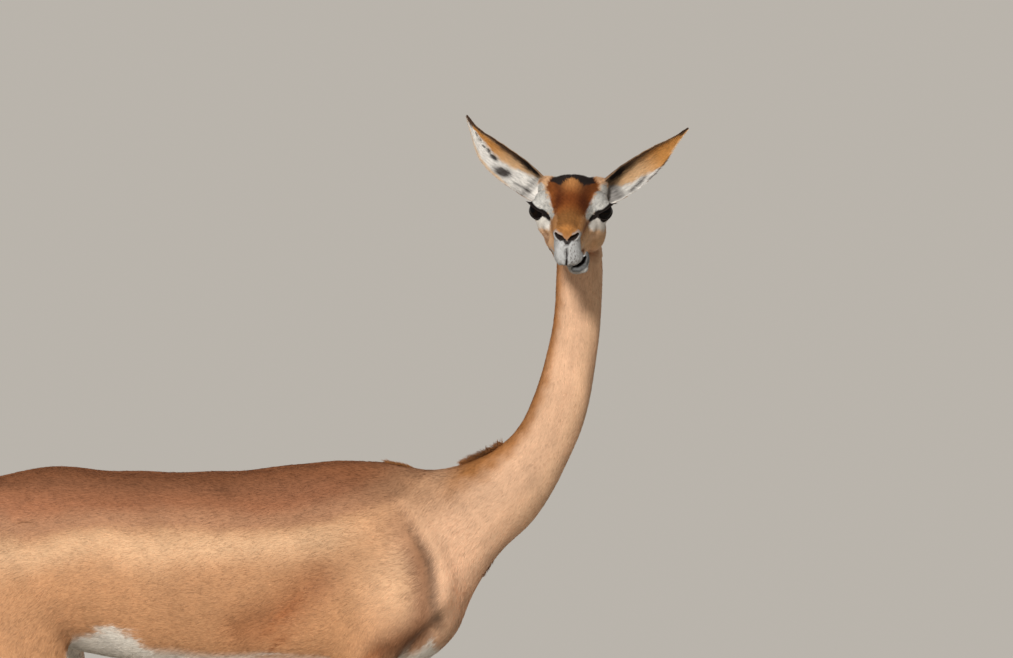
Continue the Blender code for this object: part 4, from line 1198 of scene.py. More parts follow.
# Inside the ears, by share of the length: where the dark upper edge and the tan band begin.
EAR_MARKS = {
    "right": [
        (0.0, 0.44, 0.36),
        (0.1, 0.28, 0.14),
        (0.2, 0.28, 0.02),
        (0.3, 0.38, -0.12),
        (0.4, 0.42, -0.16),
        (0.5, 0.48, -0.13),
        (0.6, 0.58, -0.03),
        (0.7, 0.66, 0.04),
        (0.8, 0.50, 0.06),
        (0.88, 0.15, -0.05),
        (1.0, -1.0, -1.0),
    ],
    "left": [
        (0.0, 0.30, 0.10),
        (0.1, 0.04, -0.34),
        (0.2, 0.16, -0.50),
        (0.3, 0.22, -0.54),
        (0.4, 0.34, -0.70),
        (0.5, 0.46, -0.85),
        (0.6, 0.64, -1.2),
        (0.7, 0.76, -1.3),
        (0.8, 0.80, -1.3),
        (0.88, 0.35, -1.3),
        (1.0, -1.0, -1.3),
    ],
}


def ear_colour(side, share, across, inside, points):
    """Markings of the ears: a dark upper edge, a tan band, white hair with dark streaks."""
    t, a = share, across
    leaf = np.stack([t * 3, a], 1)
    marks = np.array(EAR_MARKS[side])
    streak = wobble(np.stack([t * 20, a * 23], 1), 2.0, 43)
    fine = 0.04 * streak + 0.03 * wobble(points, 6, 41)
    dark_edge = np.interp(t, marks[:, 0], marks[:, 1]) + fine
    tan_edge = np.interp(t, marks[:, 0], marks[:, 2]) + fine
    cup = mix(EAR_WHITE, GREY_WHITE, np.clip(0.2 + 0.35 * streak, 0, 1))
    outer = ramp(t, 0.3, 0.62) * ramp(a, 0.75, 0.35)
    tan = mix(colour(0.62, 0.41, 0.23), colour(0.54, 0.26, 0.075), outer)
    cup = mix(cup, tan * (1 + 0.10 * streak)[:, None], ramp(a - tan_edge, -0.10, 0.10))
    brown = colour(0.125, 0.072, 0.045) if side == "right" else colour(0.21, 0.125, 0.075)
    edge = mix(DARK, brown, ramp(t, 0.18, 0.40))
    cup = mix(cup, edge, ramp(a - dark_edge, -0.16, 0.12) * ramp(t, 0.02, 0.06))
    if side == "right":
        row = np.interp(t, [0.5, 0.6, 0.7, 0.8], [-0.24, -0.2, -0.22, -0.06])
        dash = 1.4 * hump(a - row + fine, 0.075) * ramp(t, 0.52, 0.55) * ramp(t, 0.84, 0.80)
        dash = dash * ramp(np.sin(t * 90), -0.6, 0.1)
        patch = np.hypot((t - 0.31) / 0.062, (a + 0.50 + 0.8 * (t - 0.31)) / 0.19)
        patch = 2.0 * hump(patch + 0.22 * streak, 0.9)
        grey = 0.8 * hump(np.hypot((t - 0.37) / 0.06, (a + 0.66) / 0.22), 0.9)
        spot = 2.2 * hump(np.hypot((t - 0.49) / 0.048, (a + 0.27) / 0.11), 0.85)
        root = 0.6 * soft_line(leaf, [(0.5, -0.62), (0.25, -0.52), (0.05, -0.5)], 0.07)
        dark = np.clip(dash + patch + grey + spot + root + 0.5 * hump(t - 0.03, 0.03), 0, 1)
        rim = 0.9 * ramp(-a, 0.80, 0.90) * ramp(t, 0.15, 0.3)
    else:
        patch = soft_line(leaf, [(0.50, -0.80), (0.75, -0.74), (1.0, -0.70)], 0.10)
        # Painted shade at the root of the cup.
        root = 0.7 * ramp(t, 0.13, 0.04) * ramp(-a, 0.95, 0.8) * ramp(a, 0.5, 0.2)
        lower = 0.9 * ramp(-a, 0.86, 0.95) * ramp(t, 0.33, 0.38) * ramp(t, 0.70, 0.64)
        dark = np.clip(0.85 * patch + root + lower, 0, 1)
        rim = 0.9 * ramp(-a, 0.72, 0.85) * ramp(t, 0.66, 0.72)
    cup = mix(cup, DARK, 0.95 * dark)
    cup = mix(cup, EAR_RIM, rim)
    cup = mix(cup, CHEEK, 0.6 * ramp(a, 0.93, 0.99) * ramp(t, 0.3, 0.5))
    cup = mix(cup, EAR_TIP, 0.92 * ramp(t, 0.84, 0.90) * ramp(a, -0.8, -0.2))
    back = np.tile(EAR_BACK, (len(points), 1))
    back = mix(back, BROWN, np.clip(0.25 + 0.12 * streak + 0.12 * wobble(points, 14, 44), 0, 1))
    back = mix(back, BROWN * 0.7, 0.7 * ramp(t, 0.7, 0.95))
    back = mix(back, CHEEK, 0.6 * ramp(t, 0.2, 0.0))
    return np.where(inside[:, None], cup, back)


def node(tree, kind, place, **values):
    made = tree.nodes.new(kind)
    made.location = place
    for key, value in values.items():
        setattr(made, key, value)
    return made


def join(tree, source, output, target, socket):
    """Join an output of one node to an input of another."""
    tree.links.new(source.outputs[output], target.inputs[socket])


def level_node(tree, place, low, high, start=0.0, end=1.0, **values):
    """A node that maps low to high onto start to end."""
    made = node(tree, "ShaderNodeMapRange", place, **values)
    for key, value in zip(("From Min", "From Max", "To Min", "To Max"), (low, high, start, end)):
        made.inputs[key].default_value = value
    return made


def noise_node(tree, place, scale, detail=2.0):
    made = node(tree, "ShaderNodeTexNoise", place)
    made.inputs["Scale"].default_value = scale
    made.inputs["Detail"].default_value = detail
    return made


def maths_node(tree, place, operation, values=(), kind="Math"):
    """A math or vector math node, its inputs from the second on set to plain values."""
    made = node(tree, "ShaderNode" + kind, place, operation=operation)
    for socket, value in zip(made.inputs[1:], values):
        socket.default_value = value
    return made


def mix_node(tree, place, first=None, second=None):
    """A node that mixes two colours, either of them plain."""
    made = node(tree, "ShaderNodeMix", place, data_type="RGBA")
    for key, paint in (("A", first), ("B", second)):
        if paint is not None:
            made.inputs[key].default_value = (*paint, 1)
    return made


def relief_node(tree, place, strength, distance):
    made = node(tree, "ShaderNodeBump", place)
    made.inputs["Strength"].default_value = strength
    made.inputs["Distance"].default_value = distance
    return made


def hair_group():
    """Streaks of short hair: a colour in, the streaked colour and a height out."""
    group = bpy.data.node_groups.get("short hair")
    if group:
        return group
    group = bpy.data.node_groups.new("short hair", "ShaderNodeTree")
    face = group.interface
    face.new_socket("Color", in_out="INPUT", socket_type="NodeSocketColor")
    contrast = face.new_socket("Contrast", in_out="INPUT", socket_type="NodeSocketFloat")
    contrast.default_value = 0.3
    face.new_socket("Color", in_out="OUTPUT", socket_type="NodeSocketColor")
    face.new_socket("Height", in_out="OUTPUT", socket_type="NodeSocketFloat")
    start = node(group, "NodeGroupInput", (-900, 0))
    end = node(group, "NodeGroupOutput", (500, 0))
    grain = node(group, "ShaderNodeAttribute", (-900, -250), attribute_name="grain")
    stretch = maths_node(group, (-700, -250), "MULTIPLY", [(0.16, 0.95, 0.0)], "VectorMath")
    fine = noise_node(group, (-500, -150), 1.0, 3.0)
    coarse = noise_node(group, (-500, -400), 0.22)
    add = maths_node(group, (-300, -250), "MULTIPLY_ADD", [0.5])
    level = level_node(group, (-120, -150), 0.45, 1.05)
    shade = maths_node(group, (60, -150), "MULTIPLY_ADD")
    low = maths_node(group, (60, -320), "MULTIPLY_ADD", [-0.5, 1.0])
    tint = maths_node(group, (280, 50), "SCALE", kind="VectorMath")
    join(group, grain, "Vector", stretch, 0)
    join(group, stretch, 0, fine, "Vector")
    join(group, stretch, 0, coarse, "Vector")
    join(group, coarse, "Fac", add, 0)
    join(group, fine, "Fac", add, 2)
    join(group, add, 0, level, "Value")
    join(group, start, "Contrast", low, 0)
    join(group, level, "Result", shade, 0)
    join(group, start, "Contrast", shade, 1)
    join(group, low, 0, shade, 2)
    join(group, start, "Color", tint, 0)
    join(group, shade, 0, tint, "Scale")
    join(group, tint, 0, end, "Color")
    join(group, level, "Result", end, "Height")
    return group


def new_material(name, roughness, specular=0.4):
    made = bpy.data.materials.new(name)
    made.use_nodes = True
    shader = made.node_tree.nodes["Principled BSDF"]
    shader.inputs["Roughness"].default_value = roughness
    shader.inputs["Specular IOR Level"].default_value = specular
    return made, made.node_tree, shader


def dull_dark(tree, shader, paint, roughness):
    """Let the black parts of the coat shine less than the pale ones."""
    level = level_node(tree, (-300, 380), 0.004, 0.12, 0.9, roughness)
    grey = node(tree, "ShaderNodeRGBToBW", (-480, 380))
    join(tree, paint, "Color", grey, 0)
    join(tree, grey, 0, level, "Value")
    join(tree, level, "Result", shader, "Roughness")


def skin_material(name, contrast, bump):
    made, tree, shader = new_material(name, 0.62, 0.12)
    paint = node(tree, "ShaderNodeAttribute", (-700, 200), attribute_name="coat")
    hair = node(tree, "ShaderNodeGroup", (-450, 100), node_tree=hair_group())
    hair.inputs["Contrast"].default_value = contrast
    relief = relief_node(tree, (-220, -200), bump, 0.0006)
    dull_dark(tree, shader, paint, 0.62)
    join(tree, paint, "Color", hair, "Color")
    join(tree, hair, "Color", shader, "Base Color")
    join(tree, hair, "Height", relief, "Height")
    join(tree, relief, "Normal", shader, "Normal")
    return made


def coat_material(name, roughness=0.55, specular=0.14):
    made, tree, shader = new_material(name, roughness, specular)
    paint = node(tree, "ShaderNodeAttribute", (-700, 200), attribute_name="coat")
    place = node(tree, "ShaderNodeTexCoord", (-900, -100))
    fleck = noise_node(tree, (-700, -100), 260.0)
    level = level_node(tree, (-480, -100), 0.3, 0.7, 0.95, 1.05)
    tint = maths_node(tree, (-250, 150), "SCALE", kind="VectorMath")
    join(tree, place, "Object", fleck, "Vector")
    join(tree, fleck, "Fac", level, "Value")
    join(tree, paint, "Color", tint, 0)
    join(tree, level, "Result", tint, "Scale")
    join(tree, tint, 0, shader, "Base Color")
    dull_dark(tree, shader, paint, roughness)
    return made


def paint(data, values):
    """Store a colour for every vertex."""
    layer = data.color_attributes.new("coat", "FLOAT_COLOR", "POINT")
    full = np.ones((len(values), 4), np.float32)
    full[:, :3] = np.clip(values, 0.002, 0.95)
    layer.data.foreach_set("color", full.ravel())


def store_grain(data, along, across):
    layer = data.attributes.new("grain", "FLOAT_VECTOR", "POINT")
    values = np.zeros((len(along), 3), np.float32)
    values[:, 0] = along
    values[:, 1] = across
    layer.data.foreach_set("vector", values.ravel())


def finish_piece(thing, name, surface, replaced=(), smooth=True):
    """Name a finished piece, set it at its place in the row frame and let it ride."""
    thing.name = name
    thing.data.name = name
    thing.data.transform(Matrix.Translation(SHIFT * MM))
    thing.data.materials.clear()
    thing.data.materials.append(surface)
    thing.data.polygons.foreach_set("use_smooth", np.full(len(thing.data.polygons), smooth))
    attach(thing, "root")
    if replaced:
        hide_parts(*replaced)
    return thing


def join_halves(body, head):
    """One surface from the body below the join of the neck and the finer head above it."""
    mesh = bmesh.new()
    for thing, way in ((body, -1), (head, 1)):
        part = bmesh.new()
        part.from_mesh(thing.data)
        everything = part.verts[:] + part.edges[:] + part.faces[:]
        point, facing = (NECK_TOP + NECK_TOP_NORMAL * 1.5 * way) * MM, NECK_TOP_NORMAL * way
        bmesh.ops.bisect_plane(part, geom=everything, plane_co=point, plane_no=facing, clear_inner=True)
        scratch = bpy.data.meshes.new("half")
        part.to_mesh(scratch)
        part.free()
        mesh.from_mesh(scratch)
        bpy.data.meshes.remove(scratch)
        remove(thing)
    edges = [edge for edge in mesh.edges if edge.is_boundary]
    bmesh.ops.bridge_loops(mesh, edges=edges)
    near = []
    for vertex in mesh.verts:
        if abs((vertex.co / MM - NECK_TOP).dot(NECK_TOP_NORMAL)) < 14:
            near.append(vertex)
    axes = dict(use_axis_x=True, use_axis_y=True, use_axis_z=True)
    for _ in range(8):
        bmesh.ops.smooth_vert(mesh, verts=near, factor=0.5, **axes)
    return mesh


def refine_face(mesh):
    """Split the faces round the eyes, nostrils and mouth once more."""
    points = np.array([vertex.co for vertex in mesh.verts]) / MM
    q = into_head(points)
    fine = (q[:, 0] > 190) & (q[:, 2] < 20)
    for way in SIDES.values():
        eye = into_eye(points, way)
        fine |= (eye[:, 2] > -2) & (np.hypot(eye[:, 0] / 23, eye[:, 1] / 18) < 1)
    mesh.verts.ensure_lookup_table()
    edges = [edge for edge in mesh.edges if fine[edge.verts[0].index] and fine[edge.verts[1].index]]
    bmesh.ops.subdivide_edges(mesh, edges=edges, cuts=1, use_grid_fill=True)
    bmesh.ops.triangulate(mesh, faces=[face for face in mesh.faces if len(face.verts) > 4])


def ear_shell(side):
    """The thin wall of one ear as a closed mesh, with the shares of length of its rows."""
    mesh = bmesh.new()
    table = np.interp(np.linspace(0, 1, EAR_ROWS), np.linspace(0, 1, len(EAR_TABLE)), EAR_TABLE[:, 0])
    across = np.linspace(-1, 1, EAR_COLUMNS)
    rings = []
    for share in table:
        shares = np.full(EAR_COLUMNS, share)
        middle, inward = ear_sheet(side, shares, across)
        half = ear_wall(shares, across)[:, None]
        ring = list(middle - inward * half) + list((middle + inward * half)[::-1])
        rings.append([Vector(point) for point in ring])
    tube(mesh, rings)
    return mesh, table


def build_skin(settings):
    body = bmesh.new()
    trunk_form(body, TRUNK)
    for x, out, z, *axes in MUSCLES:
        for way in SIDES.values():
            ball(body, (x, way * out, z), axes, Matrix.Identity(4))
    for leg in LEGS:
        level_form(body, leg_rows(leg), 2.1, 32)
    level_form(body, [(*row, 0) for row in TAIL], 2, 20)
    voxel = settings.body_voxel / MM
    body = fused("body_work", body, voxel)
    x, _, z = places(body.data).T
    share = np.clip((z - 560) / 90, 0, 1)
    tail = np.clip((-486 - x) / 12, 0, 1)
    neck = np.clip((z - 960) / 90, 0, 1)
    weights = 0.05 + 0.95 * share * (1 - neck) * (1 - tail) + 0.05 * neck
    relax(body, int(90 * (2.8 / voxel) ** 2), weights)
    thin_out(body, settings.body_triangles)
    head = bmesh.new()
    trunk_form(head, UPPER_NECK)
    head_form(head, True)
    head = fused("head_work", head, settings.head_voxel / MM)
    f = into_head(places(head.data))[:, 0]
    relax(head, 20, 0.15 + 0.75 * ramp(f, 190, 150))
    thin_out(head, settings.head_triangles)
    mesh = join_halves(body, head)
    refine_face(mesh)
    bmesh.ops.recalc_face_normals(mesh, faces=mesh.faces)
    skin = mesh_object("skin", mesh)
    data = skin.data
    points = places(data)
    region = region_of(points)
    on_head = region == HEAD_REGION
    points = shape_body(points, facings(data), region)
    put_places(data, points)
    points = points - facings(data) * coat_depth(points, region)[:, None]
    put_places(data, points)
    normals = facings(data)
    points[on_head] = shape_face(points[on_head], normals[on_head])
    points[on_head] = shape_lids(points[on_head])
    put_places(data, points)
    return skin, region


def skin_finish(skin, region):
    """Paint the skin, add the ears to it and store the run of its hair."""
    data = skin.data
    points, normals = places(data), facings(data)
    colours = coat_colour(points, normals, region)
    spread = unwrapped(points, region)
    along = spread[:, 0] * np.array(REGION_LENGTHS)[region]
    across = spread[:, 1] * np.array(REGION_GIRTHS)[region]
    mesh = bmesh.new()
    mesh.from_mesh(data)
    for side in SIDES:
        shell, table = ear_shell(side)
        shell.transform(Matrix.Scale(MM, 4))
        scratch = bpy.data.meshes.new("ear")
        shell.to_mesh(scratch)
        shell.free()
        share, out, inside = ear_places(side, places(scratch), table)
        colours = np.vstack([colours, ear_colour(side, share, out, inside, places(scratch))])
        along = np.concatenate([along, share * 140])
        across = np.concatenate([across, out * 28])
        mesh.from_mesh(scratch)
        bpy.data.meshes.remove(scratch)
    mesh.to_mesh(data)
    mesh.free()
    paint(data, colours)
    store_grain(data, along, across)
    areas = np.full(len(data.vertices), EAR_REGION, np.int32)
    areas[: len(region)] = region
    data.attributes.new("region", "INT", "POINT").data.foreach_set("value", areas)
    nodes = [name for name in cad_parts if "eye" not in name and "hoof" not in name]
    surface = skin_material("skin and short hair", 0.28, 0.4)
    return finish_piece(skin, "skin", surface, nodes)


def ear_places(side, points, table):
    """Share, place across and face of points on an ear's shell, from the nearest of its grid."""
    shares, out = np.meshgrid(table, np.linspace(-1, 1, EAR_COLUMNS), indexing="ij")
    shares, out = shares.ravel(), out.ravel()
    middle, inward = ear_sheet(side, shares, out)
    nearest = np.empty(len(points), int)
    for start in range(0, len(points), 4000):
        some = points[start : start + 4000]
        nearest[start : start + 4000] = ((some[:, None] - middle[None]) ** 2).sum(2).argmin(1)
    inside = ((points - middle[nearest]) * inward[nearest]).sum(1) > 0
    return shares[nearest], out[nearest], inside


def build_eyes():
    mesh = bmesh.new()
    spots = []
    for way in SIDES.values():
        matrix = eye_frame(way)
        made = bmesh.ops.create_uvsphere(mesh, u_segments=96, v_segments=72, radius=EYE_RADIUS)["verts"]
        for vertex in made:
            spots.append(list(vertex.co / EYE_RADIUS))
            share = min(math.hypot(vertex.co.x, vertex.co.y) / 11.5, 1.0)
            vertex.co.z += 0.8 * (1 - share * share) ** 2 if vertex.co.z > 0 else 0.0
            vertex.co = matrix @ vertex.co
    mesh.transform(Matrix.Scale(MM, 4))
    bmesh.ops.recalc_face_normals(mesh, faces=mesh.faces)
    eyes = mesh_object("eyes", mesh)
    layer = eyes.data.attributes.new("spot", "FLOAT_VECTOR", "POINT")
    layer.data.foreach_set("vector", np.array(spots, np.float32).ravel())
    return finish_piece(eyes, "eyes", eye_material(), ("eye_left", "eye_right"))


def eye_material():
    """A dark brown iris with a pupil lying across, under a clear wet cornea."""
    made, tree, shader = new_material("wet eye", 0.10, 0.03)
    shader.inputs["Coat Weight"].default_value = 0.12
    shader.inputs["Coat Roughness"].default_value = 0.02
    shader.inputs["Coat IOR"].default_value = 1.25
    spot = node(tree, "ShaderNodeAttribute", (-1200, 0), attribute_name="spot")
    flat = maths_node(tree, (-1000, 0), "MULTIPLY", [(0.55, 1.0, 0.0)], "VectorMath")
    pupil = maths_node(tree, (-820, 0), "LENGTH", kind="VectorMath")
    edge = level_node(tree, (-640, 0), 0.22, 0.34, interpolation_type="SMOOTHSTEP")
    disc = maths_node(tree, (-1000, -220), "MULTIPLY", [(1.0, 1.0, 0.0)], "VectorMath")
    reach = maths_node(tree, (-820, -220), "LENGTH", kind="VectorMath")
    rim = level_node(tree, (-640, -220), 0.62, 0.82, interpolation_type="SMOOTHSTEP")
    rays = noise_node(tree, (-820, -440), 9.0, 4.0)
    iris = mix_node(tree, (-560, -440), (0.004, 0.0025, 0.002), (0.010, 0.005, 0.003))
    inner = mix_node(tree, (-380, 0), (0.002, 0.002, 0.0025))
    outer = mix_node(tree, (-180, 0), second=(0.004, 0.003, 0.003))
    join(tree, spot, "Vector", flat, 0)
    join(tree, flat, 0, pupil, 0)
    join(tree, pupil, "Value", edge, "Value")
    join(tree, spot, "Vector", disc, 0)
    join(tree, disc, 0, reach, 0)
    join(tree, reach, "Value", rim, "Value")
    join(tree, spot, "Vector", rays, "Vector")
    join(tree, rays, "Fac", iris, "Factor")
    join(tree, edge, "Result", inner, "Factor")
    join(tree, iris, "Result", inner, "B")
    join(tree, rim, "Result", outer, "Factor")
    join(tree, inner, "Result", outer, "A")
    join(tree, outer, "Result", shader, "Base Color")
    return made


def lid_edge(count):
    """Places round the edge of an eye's lids, from the corner at the nose over the upper lid."""
    angle = np.linspace(0, 2 * math.pi, count, endpoint=False)
    x = LID_HALF * np.cos(angle)
    y = np.where(np.sin(angle) >= 0, 1, -1) * lid_height(x, np.sin(angle) >= 0)
    z = lid_level(x, y, EYE_RADIUS + LID_THICKNESS)
    return np.stack([x, y, z], 1)


def build_lid_rims():
    """The moist dark edge of the lids, as a closed cord round each eye."""
    mesh = bmesh.new()
    for way in SIDES.values():
        matrix = eye_frame(way)
        edge = lid_edge(90)
        rings = []
        for index, place in enumerate(edge):
            heading = Vector(edge[(index + 1) % len(edge)] - edge[index - 1]).normalized()
            out = Vector(place).normalized()
            side = heading.cross(out).normalized()
            out = side.cross(heading)
            thick = 0.62 + 0.5 * hump(abs(place[0]) - LID_HALF, 2.5)
            ring = section(Vector(place) - out * 0.25, out, side, thick, thick, 2.0, 0.0, 10)
            rings.append([matrix @ point for point in ring])
        tube(mesh, rings, closed=True)
    rims = in_metres("lid_rims", mesh)
    paint(rims.data, np.tile(DARK * 0.9, (len(rims.data.vertices), 1)))
    surface = coat_material("moist lid edge", 0.28)
    return finish_piece(rims, "lid_rims", surface)


def hoof_top(x, share=1.0):
    """Height of a hoof's wall at a place along it, where share 1 is its upper edge."""
    run = HOOF_TOE - HOOF_TOE_LEAN - (HOOF_HEEL + HOOF_HEEL_LEAN)
    rise = HOOF_FRONT_HEIGHT - HOOF_HEEL_HEIGHT
    return share * (HOOF_HEEL_HEIGHT + (x - HOOF_HEEL - HOOF_HEEL_LEAN) * rise / run)


def hoof_form(mesh, foot, way, rings_of_growth):
    """One hoof with a worn lower edge and growth rings."""
    rings = []
    levels = 26
    for level in range(levels):
        share = level / (levels - 1)
        back = HOOF_HEEL + HOOF_HEEL_LEAN * share
        front = HOOF_TOE - HOOF_TOE_LEAN * share
        width = HOOF_WIDTH - HOOF_SIDE_LEAN * share
        swell = 0.28 * math.sin(share * rings_of_growth * 2 * math.pi) * (1 - share)
        swell -= 0.9 * (share < 0.02)
        ring = []
        for index in range(48):
            angle = 2 * math.pi * index / 48
            along = math.cos(angle)
            x = (front + back) / 2 + ((front - back) / 2 + swell) * along
            taper = 1 - 0.45 * max(along, 0) ** 2
            across = HOOF_CLEFT / 2 + (width + swell) * taper * (0.5 + 0.5 * math.sin(angle)) ** 0.75
            z = min(hoof_top(x, share), hoof_top(x) - 0.2 * share)
            ring.append(Vector((foot.x + x, foot.y + way * across, z)))
        rings.append(ring)
    tube(mesh, rings)


def build_hooves():
    mesh = bmesh.new()
    for leg in LEGS:
        row = leg_rows(leg)[-2]
        foot = Vector((row[0], row[4], 0))
        for way in SIDES.values():
            hoof_form(mesh, foot, way, 5)
        joint = leg_rows(leg)[-6]
        for way in SIDES.values():
            place = Matrix.Translation((joint[0] - 15.5, joint[4] + way * 9.5, joint[1] - 2))
            lean = Matrix.Rotation(math.radians(24), 4, "Y")
            ball(mesh, (0, 0, 0), (4.2, 4.6, 8.5), place @ lean, 20, 14)
    hooves = in_metres("hooves", mesh)
    nodes = [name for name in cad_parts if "hoof" in name]
    return finish_piece(hooves, "hooves", horn_material(), nodes)


def horn_material():
    """Dark horn with fine upright fibres, growth bands and dust near the ground."""
    made, tree, shader = new_material("dark horn", 0.42, 0.45)
    place = node(tree, "ShaderNodeTexCoord", (-1100, 0))
    stretch = node(tree, "ShaderNodeMapping", (-900, 0))
    stretch.inputs["Scale"].default_value = (900.0, 900.0, 60.0)
    fibre = noise_node(tree, (-700, 0), 1.0)
    split = node(tree, "ShaderNodeSeparateXYZ", (-900, -250))
    bands = maths_node(tree, (-700, -250), "MULTIPLY", [950.0])
    wave = maths_node(tree, (-520, -250), "SINE")
    dust = level_node(tree, (-520, -420), 0.0, 0.02, 0.5, 0.0, interpolation_type="SMOOTHSTEP")
    horn = mix_node(tree, (-450, 60), (0.012, 0.010, 0.009), (0.045, 0.034, 0.027))
    dusty = mix_node(tree, (-220, 60), second=(0.19, 0.13, 0.085))
    height = maths_node(tree, (-330, -220), "MULTIPLY_ADD", [0.25])
    relief = relief_node(tree, (-150, -220), 0.5, 0.0004)
    join(tree, place, "Object", stretch, "Vector")
    join(tree, stretch, "Vector", fibre, "Vector")
    join(tree, place, "Object", split, "Vector")
    join(tree, split, "Z", bands, 0)
    join(tree, bands, 0, wave, 0)
    join(tree, split, "Z", dust, "Value")
    join(tree, fibre, "Fac", horn, "Factor")
    join(tree, dust, "Result", dusty, "Factor")
    join(tree, horn, "Result", dusty, "A")
    join(tree, dusty, "Result", shader, "Base Color")
    join(tree, wave, 0, height, 0)
    join(tree, fibre, "Fac", height, 2)
    join(tree, height, 0, relief, "Height")
    join(tree, relief, "Normal", shader, "Normal")
    return made


def tuft_shape(sides, cuts=()):
    """A tuft: x across, y up and z from its root at 0 to its tip at 1, and its triangles.

    A plain one of three sides has a flat side up.
    """
    mesh = bmesh.new()
    size = dict(radius1=1.0, radius2=0.0, depth=1.0, matrix=Matrix.Translation((0, 0, 0.5)))
    bmesh.ops.create_cone(mesh, cap_ends=True, segments=sides, **size)
    bmesh.ops.remove_doubles(mesh, verts=mesh.verts, dist=1e-4)
    for cut in cuts:
        everything = mesh.verts[:] + mesh.edges[:] + mesh.faces[:]
        bmesh.ops.bisect_plane(mesh, geom=everything, plane_co=(0, 0, cut), plane_no=(0, 0, 1))
    bmesh.ops.triangulate(mesh, faces=mesh.faces)
    bmesh.ops.recalc_face_normals(mesh, faces=mesh.faces)
    mesh.verts.index_update()
    points = np.array([vertex.co[:] for vertex in mesh.verts])
    corners = np.array([[vertex.index for vertex in face.verts] for face in mesh.faces])
    mesh.free()
    t = points[:, 2]
    full = np.where(t < 0.999, (1 - t) ** -0.45 * (0.55 + 0.45 * np.minimum(t / 0.3, 1)), 1.0)
    points[:, :2] *= full[:, None] if cuts else -1.0
    return points, corners


def grown(name, shape, hair):
    """Copies of a tuft on their roots as one mesh. hair holds an array of each size per tuft."""
    points, corners = shape
    roots, outward, lie = hair["roots"], hair["outward"], hair["lie"]
    count, size = len(roots), len(points)
    side = unit(np.cross(outward, lie))
    lift = hair["lift"][:, None]
    along = lie * np.cos(lift) + outward * np.sin(lift)
    up = np.cross(along, side)
    roll = np.broadcast_to(hair.get("roll", 0.0), count)[:, None]
    side, up = side * np.cos(roll) + up * np.sin(roll), up * np.cos(roll) - side * np.sin(roll)
    t = points[:, 2][None, :, None]
    length = hair["length"][:, None, None]
    bend = np.broadcast_to(hair.get("bend", 0.0), count)[:, None, None]
    sway = np.broadcast_to(hair.get("sway", 0.0), count)[:, None, None]
    spine = (roots - outward * hair["sink"])[:, None] + along[:, None] * length * t
    spine = spine - up[:, None] * length * bend * t * t + side[:, None] * length * sway * t * t
    body = side[:, None] * (points[:, 0][None, :, None] * hair["width"][:, None, None] / 2)
    body = body + up[:, None] * (points[:, 1][None, :, None] * hair["thickness"][:, None, None] / 2)
    spread = (spine + body).reshape(-1, 3)
    data = bpy.data.meshes.new(name)
    data.vertices.add(count * size)
    data.vertices.foreach_set("co", (spread * MM).astype(np.float32).ravel())
    faces = (corners[None] + (np.arange(count) * size)[:, None, None]).reshape(-1)
    data.loops.add(len(faces))
    data.loops.foreach_set("vertex_index", faces.astype(np.int32))
    data.polygons.add(len(faces) // 3)
    data.polygons.foreach_set("loop_start", np.arange(0, len(faces), 3, dtype=np.int32))
    data.update(calc_edges=True)
    root_shade, tip_shade = hair.get("root_shade", 0.72), hair.get("tip_shade", 1.12)
    shade = root_shade + (tip_shade - root_shade) * t
    paint(data, (hair["colour"][:, None] * shade).reshape(-1, 3))
    chart = hair["chart"]
    low, high = chart.min(0), chart.max(0)
    chart = 0.003 + 0.994 * (chart - low) / np.maximum(high - low, 1e-6)
    patch = np.stack([points[:, 0] * 0.0012, (points[:, 2] - 0.5) * 0.0028], 1)
    spots = (chart[:, None] + patch[None]).reshape(-1, 2)[faces]
    layer = data.uv_layers.new(name="OFBake")
    layer.uv.foreach_set("vector", np.clip(spots, 0, 1).astype(np.float32).ravel())
    thing = bpy.data.objects.new(name, data)
    bpy.context.scene.collection.objects.link(thing)
    return thing


def skin_surface():
    """Places, facings, regions and triangles of the finished skin, in the body's own frame."""
    data = bpy.data.objects["skin"].data
    points = places(data) - np.array(SHIFT)
    areas = np.empty(len(points), np.int32)
    data.attributes["region"].data.foreach_get("value", areas)
    data.calc_loop_triangles()
    corners = np.empty(len(data.loop_triangles) * 3, np.int32)
    data.loop_triangles.foreach_get("vertices", corners)
    return points, facings(data), areas, corners.reshape(-1, 3)


def scatter(surface, chosen, count, draw, density=None):
    """Roots spread evenly over the chosen triangles, or denser where density says."""
    points, normals, areas, corners = surface
    corners = corners[chosen(points[corners].mean(1), areas[corners[:, 0]])]
    a, b, c = points[corners[:, 0]], points[corners[:, 1]], points[corners[:, 2]]
    share = np.linalg.norm(np.cross(b - a, c - a), axis=1)
    if density is not None:
        share = share * density((a + b + c) / 3, areas[corners[:, 0]])
    run = np.cumsum(share)
    at = (np.arange(count) + draw.random(count)) / count * run[-1]
    pick = corners[np.minimum(np.searchsorted(run, at), len(run) - 1)]
    first, second = draw.random((2, count))
    first = np.sqrt(first)
    parts = np.stack([1 - first, first * (1 - second), first * second], 1)
    roots = (points[pick] * parts[..., None]).sum(1)
    outward = unit((normals[pick] * parts[..., None]).sum(1))
    return roots, outward, areas[pick[:, 0]]


def tufts(count):
    return int(count * (1))


def within(codes, x=(-FAR, FAR), half=FAR, z=(-FAR, FAR)):
    """A test for points of some regions between limits of X and Z, and half wide to each side."""

    def chosen(points, region):
        inside = np.isin(region, list(codes)) & (np.abs(points[:, 1]) < half)
        for axis, (low, high) in ((0, x), (2, z)):
            inside &= (points[:, axis] > low) & (points[:, axis] < high)
        return inside

    return chosen


